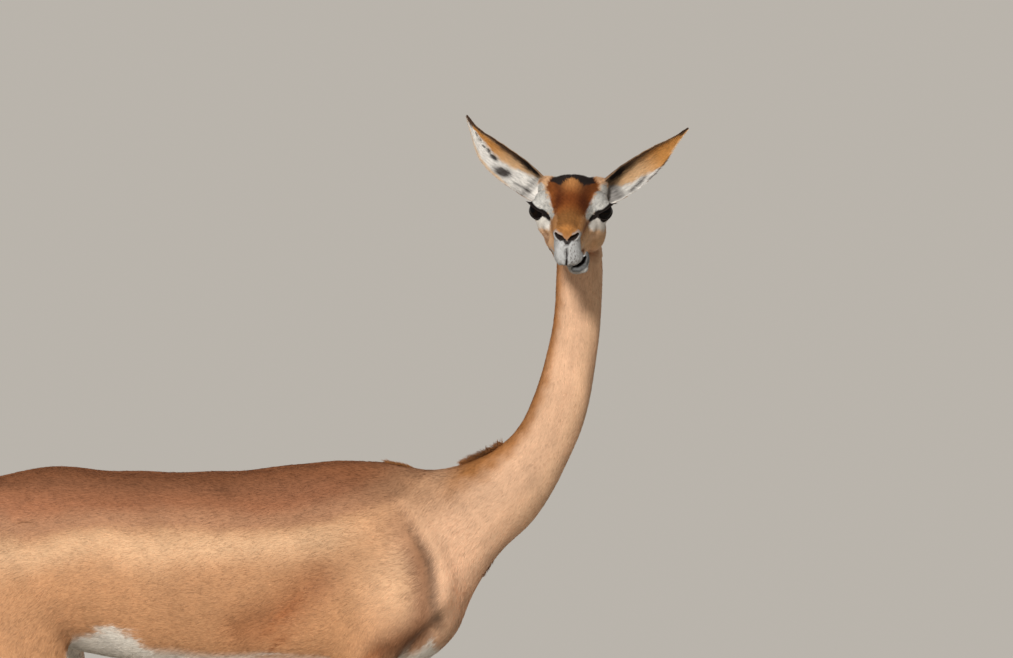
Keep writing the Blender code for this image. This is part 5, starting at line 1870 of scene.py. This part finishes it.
def coat_sizes(points, region):
    """Length and width of the short hair of the body at each root."""
    x, _, z = points.T
    length = np.full(len(points), 8.0)
    width = np.full(len(points), 1.25)
    on_neck = ramp(x, 225, 300)
    length -= 1.5 * on_neck
    width -= 0.25 * on_neck
    length += 3.0 * ramp(z, 670, 630) * (x < 240) * (region == TRUNK_REGION)
    legs = (region >= 2) & (region <= 5)
    length[legs] = (4.6 + 2.4 * ramp(z, 260, 520))[legs]
    width[legs] = (1.05 + 0.4 * ramp(z, 300, 560))[legs]
    tail = region == TAIL_REGION
    length[tail], width[tail] = 7.0, 1.1
    return length, width


def hair_of(points, outward, region, draw, tone=0.105):
    """The hair of the body at the given roots."""
    length, width = coat_sizes(points, region)
    length = length * draw.uniform(0.75, 1.2, len(points))
    tone = (tone * (1 + 0.35 * ramp(points[:, 0], 225, 300) * (region != HEAD_REGION)))[:, None]
    paints = coat_colour(points, outward, region) * (1 + tone * draw.normal(0, 1, (len(points), 1)))
    return {
        "roots": points,
        "outward": outward,
        "lie": lie_of_coat(points, outward, region, draw),
        "length": length,
        "width": width * draw.uniform(0.7, 1.15, len(points)),
        "thickness": width * 0.3,
        "root_shade": 0.96,
        "tip_shade": 1.03,
        "roll": draw.normal(0, 0.16, len(points)),
        "lift": np.clip(draw.normal(0.12, 0.035, len(points)), 0.04, 0.3),
        "sink": 0.35,
        "colour": paints,
        "chart": unwrapped(points, region),
    }


def settled(hair, surface):
    """Hair that follows the skin: each tip rises by its lift from the skin it lies on."""
    points, _, _, corners = surface
    tree = BVHTree.FromPolygons(points.tolist(), corners.tolist())
    tips = hair["roots"] + hair["lie"] * hair["length"][:, None]
    under = [tree.find_nearest(tip)[:2] for tip in tips.tolist()]
    rise = (np.sin(hair["lift"]) * hair["length"])[:, None]
    spots, out = (np.array([vector[:] for vector in vectors]) for vectors in zip(*under))
    aim = unit(spots + out * rise - hair["roots"])
    climb = (aim * hair["outward"]).sum(1)
    hair["lift"] = np.arcsin(np.clip(climb, -0.7, 0.95))
    hair["lie"] = unit(aim - hair["outward"] * climb[:, None])
    return hair


def chosen_hair(hair, mask):
    chosen = {}
    for key, value in hair.items():
        chosen[key] = value[mask] if isinstance(value, np.ndarray) else value
    return chosen


def grow_pieces(hair, pieces, shape, surface):
    """Make one mesh of each group of roots."""
    for name, mask in pieces.items():
        if mask.any():
            piece = grown(name, shape, chosen_hair(hair, mask))
            finish_piece(piece, name, surface, smooth=False)


def grow_body_coat(settings):
    surface = skin_surface()
    draw = np.random.default_rng(settings.seed)
    short = tuft_shape(3)
    fur = coat_material("short body hair")
    count = tufts(settings.body_tufts)
    roots, outward, region = scatter(surface, within([TRUNK_REGION], z=(300, FAR)), count, draw)
    hair = settled(hair_of(roots, outward, region, draw), surface)
    x, y, _ = roots.T
    reach = np.select([x < -275, x < -90, x < 95, x < 262], [0, 1, 2, 3], 4)
    pieces = {}
    for code, part in enumerate(("haunch", "loin", "ribs", "shoulder", "neck")):
        for side, way in SIDES.items():
            pieces[f"coat_{part}_{side}"] = (reach == code) & (y * way > 0)
    grow_pieces(hair, pieces, short, fur)
    legs = settings.leg_tufts
    parts = {
        "forelegs": (FORELEG_REGIONS, legs * 0.4),
        "hindlegs": (HINDLEG_REGIONS, legs * 0.6),
        "tail": ([TAIL_REGION], TAIL_TUFTS),
    }
    for part, (codes, count) in parts.items():
        roots, outward, region = scatter(surface, within(codes, z=(20, FAR)), tufts(count), draw)
        low = hoof_top(roots[:, 0] - leg_foot(roots, region))
        keep = (roots[:, 2] > low + 0.5) | (roots[:, 2] > 60)
        hair = settled(chosen_hair(hair_of(roots, outward, region, draw), keep), surface)
        grow_pieces(hair, {"coat_" + part: np.ones(keep.sum(), bool)}, short, fur)


def leg_foot(points, region):
    """How far forward the foot of each point's leg stands."""
    feet = np.zeros(len(points))
    for leg in LEGS:
        feet[region == REGIONS.index(leg)] = leg_rows(leg)[-2][0]
    return feet


def bare_face(q, points):
    """Where the head has no hair: eyes, nostrils, the open mouth and its lips."""
    bare = np.zeros(len(q), bool)
    seen = q[:, 1:]
    ahead = q[:, 0] > 182
    for way in SIDES.values():
        eye = into_eye(points, way)
        bare |= (eye[:, 2] > -1) & (lid_gap(eye) < 1.7) & (np.abs(eye[:, 0]) < LID_HALF + 6)
        bare |= ahead & (path_distance(seen, nostril(way))[0] < 3.3)
        bare |= path_distance(q * MIRROR[way], TEAR_LINE)[0] < 2.6
    for path, reach in ((NOSE_FOLD, 2.0), (LIP_GROOVE, 0.9), (MOUTH_GAP, 3.0), (LOWER_LIP, 2.0)):
        bare |= ahead & (path_distance(seen, path)[0] < reach)
    return bare | (path_distance(q, LIPS)[0] < 1.3)


def round_eye(points, way, start, end, reach):
    """How near the lids of an eye points are: 0 at start, 1 at end, and 0 beyond the reach."""
    eye = into_eye(points, way)
    return ramp(lid_gap(eye), start, end) * (eye[:, 2] > -4) * (np.hypot(eye[:, 0], eye[:, 1]) < reach)


def head_sizes(q, points):
    """Length, width and rise of the hair of the head at each root."""
    f, _, u = q.T
    length = np.interp(f, [-20, 20, 70, 120, 160, 195, 215], [7.0, 6.0, 5.0, 4.2, 3.8, 2.9, 2.2])
    width = np.interp(f, [-20, 60, 150, 195, 215], [1.2, 0.95, 0.85, 0.65, 0.55])
    crown = ramp(u, 25, 36) * ramp(f, 80, 60) * ramp(f, -5, 15)
    length = length + 2.2 * crown
    for way in SIDES.values():
        near = round_eye(points, way, 13, 3, 34)
        length = length + (2.3 - length) * near
        width = width + (0.55 - width) * near
    return length, width, 0.18 + 0.16 * crown


def grow_head_coat(settings):
    surface = skin_surface()
    draw = np.random.default_rng(settings.seed + 1)
    count = tufts(settings.head_tufts)

    def density(points, region):
        q = into_head(points)
        dense = 1 + 1.4 * ramp(q[:, 0], 150, 205)
        for way in SIDES.values():
            dense += 1.8 * round_eye(points, way, 12, 5, 30)
        return dense

    roots, outward, region = scatter(surface, within([HEAD_REGION]), count, draw, density)
    q = into_head(roots)
    keep = ~bare_face(q, roots)
    roots, outward, region, q = roots[keep], outward[keep], region[keep], q[keep]
    hair = hair_of(roots, outward, region, draw, 0.05)
    length, width, lift = head_sizes(q, roots)
    spread = draw.uniform(0.75, 1.2, len(roots))
    hair.update(length=length * spread, width=width * spread, thickness=width * 0.34, sink=0.25)
    hair["lift"] = np.clip(lift + draw.normal(0, 0.04, len(roots)), 0.05, 0.7)
    hair = settled(hair, surface)
    pieces = {}
    for side, way in SIDES.items():
        pieces["coat_head_" + side] = way * q[:, 1] > 0
    fur = coat_material("short hair of the head", 0.62, 0.14)
    grow_pieces(hair, pieces, tuft_shape(3), fur)


def ear_roots(side, share, across, inside):
    """Places, facings and the way to the tip on an ear's wall."""
    middle, inward = ear_sheet(side, share, across)
    further, _ = ear_sheet(side, share + 0.01, across)
    sideways, _ = ear_sheet(side, share, across + 0.01)
    out = np.where(inside[:, None], inward, -inward)
    roots = middle + out * ear_wall(share, across)[:, None]
    return roots, unit(out), unit(further - middle), unit(sideways - middle)


def grow_ear_hair(settings):
    draw = np.random.default_rng(settings.seed + 2)
    fur = coat_material("hair of the ears", 0.55)
    for side in SIDES:
        count = tufts(settings.ear_tufts / 2)
        share = 1 - np.sqrt(draw.random(count)) * 0.999
        share = np.where(draw.random(count) < 0.5, draw.random(count), share) * 0.985
        across = draw.uniform(-0.99, 0.99, count)
        inside = draw.random(count) < 0.55
        roots, outward, lie, wide = ear_roots(side, share, across, inside)
        fan = np.where(inside, 0.5 * across, 0.25 * across) + draw.normal(0, 0.14, count)
        lie = unit(lie + wide * fan[:, None])
        size = np.interp(share, [0, 0.6, 1.0], [1.0, 0.85, 0.5])
        length = np.where(inside, 6.5, 5.0) * size * draw.uniform(0.7, 1.3, count)
        paints = ear_colour(side, share, across, inside, roots)
        hair = {
            "roots": roots,
            "outward": outward,
            "lie": lie,
            "length": length,
            "width": np.where(inside, 0.8, 0.95) * size,
            "thickness": np.full(count, 0.3),
            "lift": np.clip(draw.normal(0.10, 0.04, count), 0.02, 0.4) * (1 - 0.7 * across**4),
            "sink": 0.1,
            "roll": draw.normal(0, 0.15, count),
            "root_shade": 0.95,
            "tip_shade": 1.04,
            "colour": paints * (1 + draw.normal(0, 0.07, (count, 1))),
            "chart": np.stack([share, across / 4 + np.where(inside, 0.25, 0.75)], 1),
        }
        name = "coat_ear_" + side
        finish_piece(grown(name, tuft_shape(3), hair), name, fur, smooth=False)


def crest_colour(points):
    """Dark in the middle of the crest and rust at its ends."""
    middle = hump(points[:, 0] - 268 + 5 * wobble(points, 7, 62), 17)
    return mix(colour(0.34, 0.15, 0.055), colour(0.10, 0.045, 0.02), 0.65 * middle)


def long_hair(surface, chosen, count, draw, sizes, way=None, paints=None, tone=0.12):
    """Longer locks on a part of the skin. sizes holds length, width, rise and bend."""
    roots, outward, region = scatter(surface, chosen, count, draw)
    length, width, lift, bend = sizes
    hair = hair_of(roots, outward, region, draw, tone)
    if way is not None:
        lie = way(roots, outward) + draw.normal(0, 0.12, roots.shape)
        lie -= outward * (lie * outward).sum(1)[:, None]
        hair["lie"] = unit(lie)
    if paints is not None:
        paints = paints(roots) if callable(paints) else paints
        hair["colour"] = paints * (1 + draw.normal(0, tone, (len(roots), 1)))
    scale = draw.uniform(0.6, 1.15, len(roots))
    if callable(length):
        length = length(roots)
    hair.update(length=length * scale, width=width * scale, thickness=np.full(len(roots), width * 0.4))
    hair["lift"] = np.clip(lift + draw.normal(0, 0.10, len(roots)), 0.05, 1.3)
    hair["bend"] = np.full(len(roots), bend)
    hair["sway"] = draw.normal(0, 0.12, len(roots))
    return hair


def near_ears(points):
    """The skin of the head round the roots of the ears."""
    near = np.zeros(len(points), bool)
    for side in SIDES:
        middle, _ = ear_sheet(side, np.full(24, 0.02), np.linspace(-1, 1, 24))
        gap, _ = path_distance(points, middle.tolist())
        near |= gap < 7
    return near


def along_ears(points, outward):
    """The way from the head to the tip of the nearer ear."""
    way = np.empty_like(points)
    for side, sign in SIDES.items():
        root, tip = np.array(EARS[side][0]), np.array(EARS[side][1])
        way[into_head(points)[:, 1] * sign > 0] = (tip - root) / np.linalg.norm(tip - root)
    return way


def grow_long_hair(settings):
    surface = skin_surface()
    draw = np.random.default_rng(settings.seed + 3)
    lock = tuft_shape(4, (0.3, 0.55, 0.78, 0.92))
    fur = coat_material("long hair", 0.55)
    # Of each: where it grows, how many locks, their sizes, which way they lie and their colour.
    plans = {
        "hair_crest": (
            within([TRUNK_REGION], x=(236, 288), half=7, z=(890, FAR)),
            620,
            (lambda p: 5 + 10 * hump(p[:, 0] - 266, 34), 1.2, 0.8, 0.2),
            lambda p, n: draw.normal((-0.9, 0, 0.3), 0.6, p.shape),
            crest_colour,
        ),
        "hair_withers": (
            within([TRUNK_REGION], x=(140, 170), half=8, z=(880, FAR)),
            220, (10, 1.4, 0.5, 0.2), None, colour(0.30, 0.13, 0.045),
        ),
        "hair_whorl": (
            within([TRUNK_REGION], x=(255, FAR), half=12, z=(757, 778)),
            60, (6, 1.2, 0.6, 0.2), None, colour(0.28, 0.14, 0.07),
        ),
        "hair_ear_roots": (
            lambda p, r: (r == HEAD_REGION) & near_ears(p),
            1500, (9, 1.0, 0.22, 0.15), along_ears, None,
        ),
        "hair_tail": (
            within([TAIL_REGION], z=(-FAR, 735)),
            900,
            (lambda p: np.minimum(70.0, p[:, 2] - 560), 1.6, 0.16, 0.1),
            lambda p, n: np.tile([0.0, 0.0, -1.0], (len(p), 1)),
            DARK,
        ),
        "hair_knees": (
            lambda p, r: np.isin(r, FORELEG_REGIONS) & (np.hypot(p[:, 2] - 340, p[:, 0] - 140) < 17),
            340, (10, 1.2, 0.3, 0.25), None, BROWN * 1.2,
        ),
        "hair_belly": (
            within([TRUNK_REGION], x=(-250, 190), z=(-FAR, 642)),
            2600, (14, 1.6, 0.22, 0.15), None, None,
        ),
        "hair_thighs": (
            within(range(TAIL_REGION), x=(-FAR, -452), half=52, z=(640, FAR)),
            1300, (10, 1.5, 0.2, 0.2), None, None,
        ),
    }
    for name, (chosen, count, sizes, way, paints) in plans.items():
        hair = long_hair(surface, chosen, count, draw, sizes, way, paints)
        finish_piece(grown(name, lock, hair), name, fur)


def grow_lashes(settings):
    """Dark lashes on the upper lids, longest at the outer corner."""
    draw = np.random.default_rng(settings.seed + 4)
    parts = []
    for way in SIDES.values():
        matrix = eye_frame(way)
        angle = np.radians(np.linspace(20, 174, LASHES)) + draw.normal(0, 0.02, LASHES)
        x = LID_HALF * np.cos(angle)
        y = lid_height(x, np.ones(LASHES, bool))
        z = lid_level(x, y, EYE_RADIUS + LID_THICKNESS + 0.3)
        edge = np.stack([x, y, z], 1)
        outer = ramp(-x / LID_HALF, 0.1, 1.0)
        ahead = unit(np.stack([x / LID_HALF * 0.25 - 0.2, 0.1 - 0.45 * outer, np.ones(LASHES)], 1))
        rise = np.tile([0.0, 1.0, 0.15], (LASHES, 1))
        axes = np.array(matrix.to_3x3())
        roots = out_of_frame(edge, matrix)
        lie = unit(ahead @ axes.T)
        outward = rise @ axes.T
        outward = unit(outward - lie * (outward * lie).sum(1)[:, None])
        length = 4.6 + (3.4 + 1.2 * way) * ramp(-x / LID_HALF, -0.3, 0.9)
        parts.append((roots, outward, lie, length))
    roots, outward, lie, length = (np.concatenate(values) for values in zip(*parts))
    count = len(roots)
    hair = {
        "roots": roots,
        "outward": outward,
        "lie": lie,
        "length": length * draw.uniform(0.85, 1.1, count),
        "width": np.full(count, 0.75),
        "thickness": np.full(count, 0.55),
        "lift": np.full(count, 0.1),
        "sink": 0.0,
        "bend": np.full(count, -0.12),
        "colour": np.tile(DARK, (count, 1)),
        "chart": np.stack([np.linspace(0, 1, count), np.full(count, 0.5)], 1),
    }
    hair["chart"] += draw.uniform(0, 0.2, (count, 2))
    piece = grown("lashes", tuft_shape(4, (0.3, 0.6, 0.85)), hair)
    finish_piece(piece, "lashes", coat_material("lash", 0.4))


# The camera: what it looks at, how far round and up it stands, its distance and the frame.
LOOK_AT = Vector((292.8, 0.0, 1072.3))
CAMERA_ROUND = math.radians(8.0)
CAMERA_UP = math.radians(2.0)
CAMERA_DISTANCE = 20.0
FRAME_WIDTH = 1013
SCALE_OF_PHOTO = 0.00128
FLOOR_RADIUS = 9.0
LIGHT_DISTANCE = 6.0
SENSOR_WIDTH = 36.0


def aimed(name, data, target, way, distance):
    """A camera or light that looks at the target from the given way and distance."""
    made = bpy.data.objects.new(name, data)
    made.location = target + way * distance
    made.rotation_euler = (-way).to_track_quat("-Z", "Y").to_euler()
    bpy.context.scene.collection.objects.link(made)
    return made


def build_stage(settings):
    scene = bpy.context.scene
    mesh = bmesh.new()
    bmesh.ops.create_circle(mesh, cap_ends=True, segments=128, radius=FLOOR_RADIUS)
    floor = mesh_object("floor", mesh)
    made, tree, shader = new_material("pale plaster floor", 0.8, 0.2)
    place = node(tree, "ShaderNodeTexCoord", (-800, 0))
    cloud = noise_node(tree, (-600, 0), 3.0, 6.0)
    pale = np.array(settings.floor_colour)
    tint = mix_node(tree, (-300, 0), pale * 0.96, pale * 1.04)
    join(tree, place, "Object", cloud, "Vector")
    join(tree, cloud, "Fac", tint, "Factor")
    join(tree, tint, "Result", shader, "Base Color")
    floor.data.materials.append(made)
    target = (LOOK_AT + SHIFT) * MM
    way = direction(CAMERA_ROUND, CAMERA_UP)
    lens = bpy.data.cameras.new("camera")
    lens.sensor_width = SENSOR_WIDTH
    lens.lens = SENSOR_WIDTH * CAMERA_DISTANCE / (FRAME_WIDTH * SCALE_OF_PHOTO)
    lens.clip_start = 0.5
    lens.clip_end = 200.0
    scene.camera = aimed("camera", lens, target, way, CAMERA_DISTANCE)
    key = bpy.data.lights.new("key", "SUN")
    key.energy = settings.light_strength
    key.angle = settings.light_softness
    key.color = (1.0, 0.95, 0.88)
    toward = direction(settings.light_round, settings.light_height)
    aimed("key", key, target, toward, LIGHT_DISTANCE)
    world = bpy.data.worlds.new("studio")
    world.use_nodes = True
    back = world.node_tree.nodes["Background"]
    back.inputs["Color"].default_value = (*settings.world_colour, 1)
    tree = world.node_tree
    way = node(tree, "ShaderNodeTexCoord", (-900, 0))
    parts = node(tree, "ShaderNodeSeparateXYZ", (-720, 0))
    height = maths_node(tree, (-540, 0), "ABSOLUTE")
    strengths = settings.backdrop_strength, settings.world_strength
    band = level_node(tree, (-360, 0), 0.06, 0.22, *strengths, interpolation_type="SMOOTHSTEP")
    join(tree, way, "Generated", parts, 0)
    join(tree, parts, "Z", height, 0)
    join(tree, height, 0, band, "Value")
    join(tree, band, "Result", back, "Strength")
    scene.world = world
    scene.view_settings.view_transform = "Standard"


PALETTE = dict(
    saddle=SADDLE, saddle_edge=SADDLE_EDGE, fawn=FAWN, pale_fawn=PALE_FAWN, neck_tan=NECK_TAN,
    rufous=RUFOUS, white=WHITE, face_white=FACE_WHITE, grey_white=GREY_WHITE, dark=DARK,
    brown=BROWN, forehead=FOREHEAD, forehead_deep=FOREHEAD_DEEP, orange_tan=ORANGE_TAN,
    cheek=CHEEK, lip_grey=LIP_GREY, nose_grey=NOSE_GREY,
)


def swatch(name, description, values):
    limits = dict(subtype="COLOR", size=3, min=0.0, max=1.0)
    return bpy.props.FloatVectorProperty(
        name=name, description=description, default=tuple(values), **limits
    )


def grid_size(name, description, default, least, most):
    limits = dict(unit="LENGTH", precision=4, min=least, max=most)
    return bpy.props.FloatProperty(name=name, description=description, default=default, **limits)


def number(name, description, default, least, most):
    limits = dict(min=least, max=most)
    return bpy.props.IntProperty(name=name, description=description, default=default, **limits)


def angle(name, description, degrees):
    turn = math.radians(degrees)
    return bpy.props.FloatProperty(name=name, description=description, subtype="ANGLE", default=turn)


def strength(name, description, default):
    return bpy.props.FloatProperty(name=name, description=description, default=default, min=0.0)


class GerenukColours(bpy.types.PropertyGroup):
    """The colours of the coat."""

    saddle: swatch("Saddle", "Dark red-brown of the back", SADDLE)
    saddle_edge: swatch("Saddle edge", "Lighter lower part of the saddle", SADDLE_EDGE)
    fawn: swatch("Fawn", "Flanks and legs", FAWN)
    pale_fawn: swatch("Pale fawn", "The light band under the saddle", PALE_FAWN)
    neck_tan: swatch("Neck", "Pinkish tan of the neck", NECK_TAN)
    rufous: swatch("Rufous", "Red-brown ridge of the neck and fronts of the legs", RUFOUS)
    white: swatch("White", "Belly, rump edge and ears", WHITE)
    face_white: swatch("Face white", "Brows and the patches under the eyes", FACE_WHITE)
    grey_white: swatch("Grey white", "Shaded white hair of the face", GREY_WHITE)
    dark: swatch("Dark", "Crown patch, ear edges and tail tuft", DARK)
    brown: swatch("Brown", "Knee tufts and backs of the ears", BROWN)
    forehead: swatch("Forehead", "Rufous of the forehead", FOREHEAD)
    forehead_deep: swatch("Deep forehead", "Darker sides of the forehead", FOREHEAD_DEEP)
    orange_tan: swatch("Bridge", "Orange tan of the bridge of the nose", ORANGE_TAN)
    cheek: swatch("Cheek", "Tan of the cheeks", CHEEK)
    lip_grey: swatch("Lips", "Grey white of the lips", LIP_GREY)
    nose_grey: swatch("Nose", "Bare skin of the nose", NOSE_GREY)


class GerenukSizes(bpy.types.PropertyGroup):
    """How finely the skin and the coat are made."""

    body_voxel: grid_size("Body detail", "Size of the grid that fuses the body", 0.0028, 0.001, 0.01)
    head_voxel: grid_size("Head detail", "Size of the grid that fuses the head", 0.0014, 0.0008, 0.005)
    body_triangles: number("Body triangles", "Triangles of the body's skin", 62000, 5000, 180000)
    head_triangles: number(
        "Head triangles", "Triangles of the skin of head and upper neck", 70000, 5000, 180000
    )
    body_tufts: number("Body tufts", "Tufts of short hair on trunk and neck", 185000, 1000, 300000)
    leg_tufts: number("Leg tufts", "Tufts of short hair on the legs", 70000, 1000, 150000)
    head_tufts: number("Head tufts", "Tufts of short hair on the head", 64000, 1000, 90000)
    ear_tufts: number("Ear tufts", "Tufts of hair on both ears", 26000, 1000, 60000)
    seed: number("Seed", "Start of the random draws", 7, 0, 1000000)


class GerenukStage(bpy.types.PropertyGroup):
    """Light and floor."""

    light_round: angle(
        "Light direction", "How far round the main light stands from the front, to the right", -4
    )
    light_height: angle("Light height", "How high the main light stands", 24)
    light_softness: angle("Light softness", "How wide the main light is", 8)
    light_strength: strength("Light strength", "Strength of the main light", 3.2)
    world_strength: strength("Fill strength", "Strength of the light from all round", 0.34)
    backdrop_strength: strength(
        "Backdrop strength", "Strength of the pale band round the horizon", 0.66
    )
    world_colour: swatch("Backdrop", "Colour of the light from all round", (0.74, 0.69, 0.62))
    floor_colour: swatch("Floor", "Colour of the floor", (0.62, 0.58, 0.52))


class GERENUK_OT_skin(bpy.types.Operator):
    """Make the skin with the ears, its markings and its short hair grain"""

    bl_idname = "gerenuk.skin"
    bl_label = "Skin"

    def execute(self, context):
        for name, values in PALETTE.items():
            values[:] = getattr(context.scene.gerenuk_colours, name)
        skin, region = build_skin(context.scene.gerenuk_sizes)
        skin_finish(skin, region)
        return {"FINISHED"}


class GERENUK_OT_eyes(bpy.types.Operator):
    """Make the eyeballs, the moist edges of the lids and the lashes"""

    bl_idname = "gerenuk.eyes"
    bl_label = "Eyes"

    def execute(self, context):
        build_eyes()
        build_lid_rims()
        grow_lashes(context.scene.gerenuk_sizes)
        return {"FINISHED"}


class GERENUK_OT_hooves(bpy.types.Operator):
    """Make the hooves and the small hooves behind the fetlocks"""

    bl_idname = "gerenuk.hooves"
    bl_label = "Hooves"

    def execute(self, context):
        build_hooves()
        return {"FINISHED"}


class GERENUK_OT_body_coat(bpy.types.Operator):
    """Grow the short coat of the trunk, neck, legs and tail"""

    bl_idname = "gerenuk.body_coat"
    bl_label = "Body coat"

    def execute(self, context):
        grow_body_coat(context.scene.gerenuk_sizes)
        return {"FINISHED"}


class GERENUK_OT_head_coat(bpy.types.Operator):
    """Grow the short coat of the head and the hair of the ears"""

    bl_idname = "gerenuk.head_coat"
    bl_label = "Head coat"

    def execute(self, context):
        grow_head_coat(context.scene.gerenuk_sizes)
        grow_ear_hair(context.scene.gerenuk_sizes)
        return {"FINISHED"}


class GERENUK_OT_long_hair(bpy.types.Operator):
    """Grow the crest, the tail tuft, the knee brushes and the other long hair"""

    bl_idname = "gerenuk.long_hair"
    bl_label = "Long hair"

    def execute(self, context):
        grow_long_hair(context.scene.gerenuk_sizes)
        return {"FINISHED"}


class GERENUK_OT_stage(bpy.types.Operator):
    """Set up the floor, the light and the camera"""

    bl_idname = "gerenuk.stage"
    bl_label = "Stage"

    def execute(self, context):
        build_stage(context.scene.gerenuk_stage)
        return {"FINISHED"}


STEPS = (
    GERENUK_OT_skin,
    GERENUK_OT_eyes,
    GERENUK_OT_hooves,
    GERENUK_OT_body_coat,
    GERENUK_OT_head_coat,
    GERENUK_OT_long_hair,
    GERENUK_OT_stage,
)


class GERENUK_PT_panel(bpy.types.Panel):
    """The steps that make the gerenuk, and its settings"""

    bl_idname = "GERENUK_PT_panel"
    bl_label = "Gerenuk"
    bl_space_type = "VIEW_3D"
    bl_region_type = "UI"
    bl_category = "Gerenuk"

    def draw(self, context):
        for step in STEPS:
            self.layout.operator(step.bl_idname)
        for group in GROUPS:
            settings = getattr(context.scene, group)
            column = self.layout.column()
            for name in settings.__annotations__:
                column.prop(settings, name)


GROUPS = {
    "gerenuk_sizes": GerenukSizes,
    "gerenuk_colours": GerenukColours,
    "gerenuk_stage": GerenukStage,
}


def register():
    for group in (*GROUPS.values(), *STEPS, GERENUK_PT_panel):
        bpy.utils.register_class(group)
    for name, group in GROUPS.items():
        setattr(bpy.types.Scene, name, bpy.props.PointerProperty(type=group))


def unregister():
    for name in GROUPS:
        delattr(bpy.types.Scene, name)
    for group in (GERENUK_PT_panel, *reversed(STEPS), *GROUPS.values()):
        bpy.utils.unregister_class(group)


def main():
    register()
    for step in STEPS:
        family, name = step.bl_idname.split(".")
        getattr(getattr(bpy.ops, family), name)()


if __name__ == "__main__":
    main()
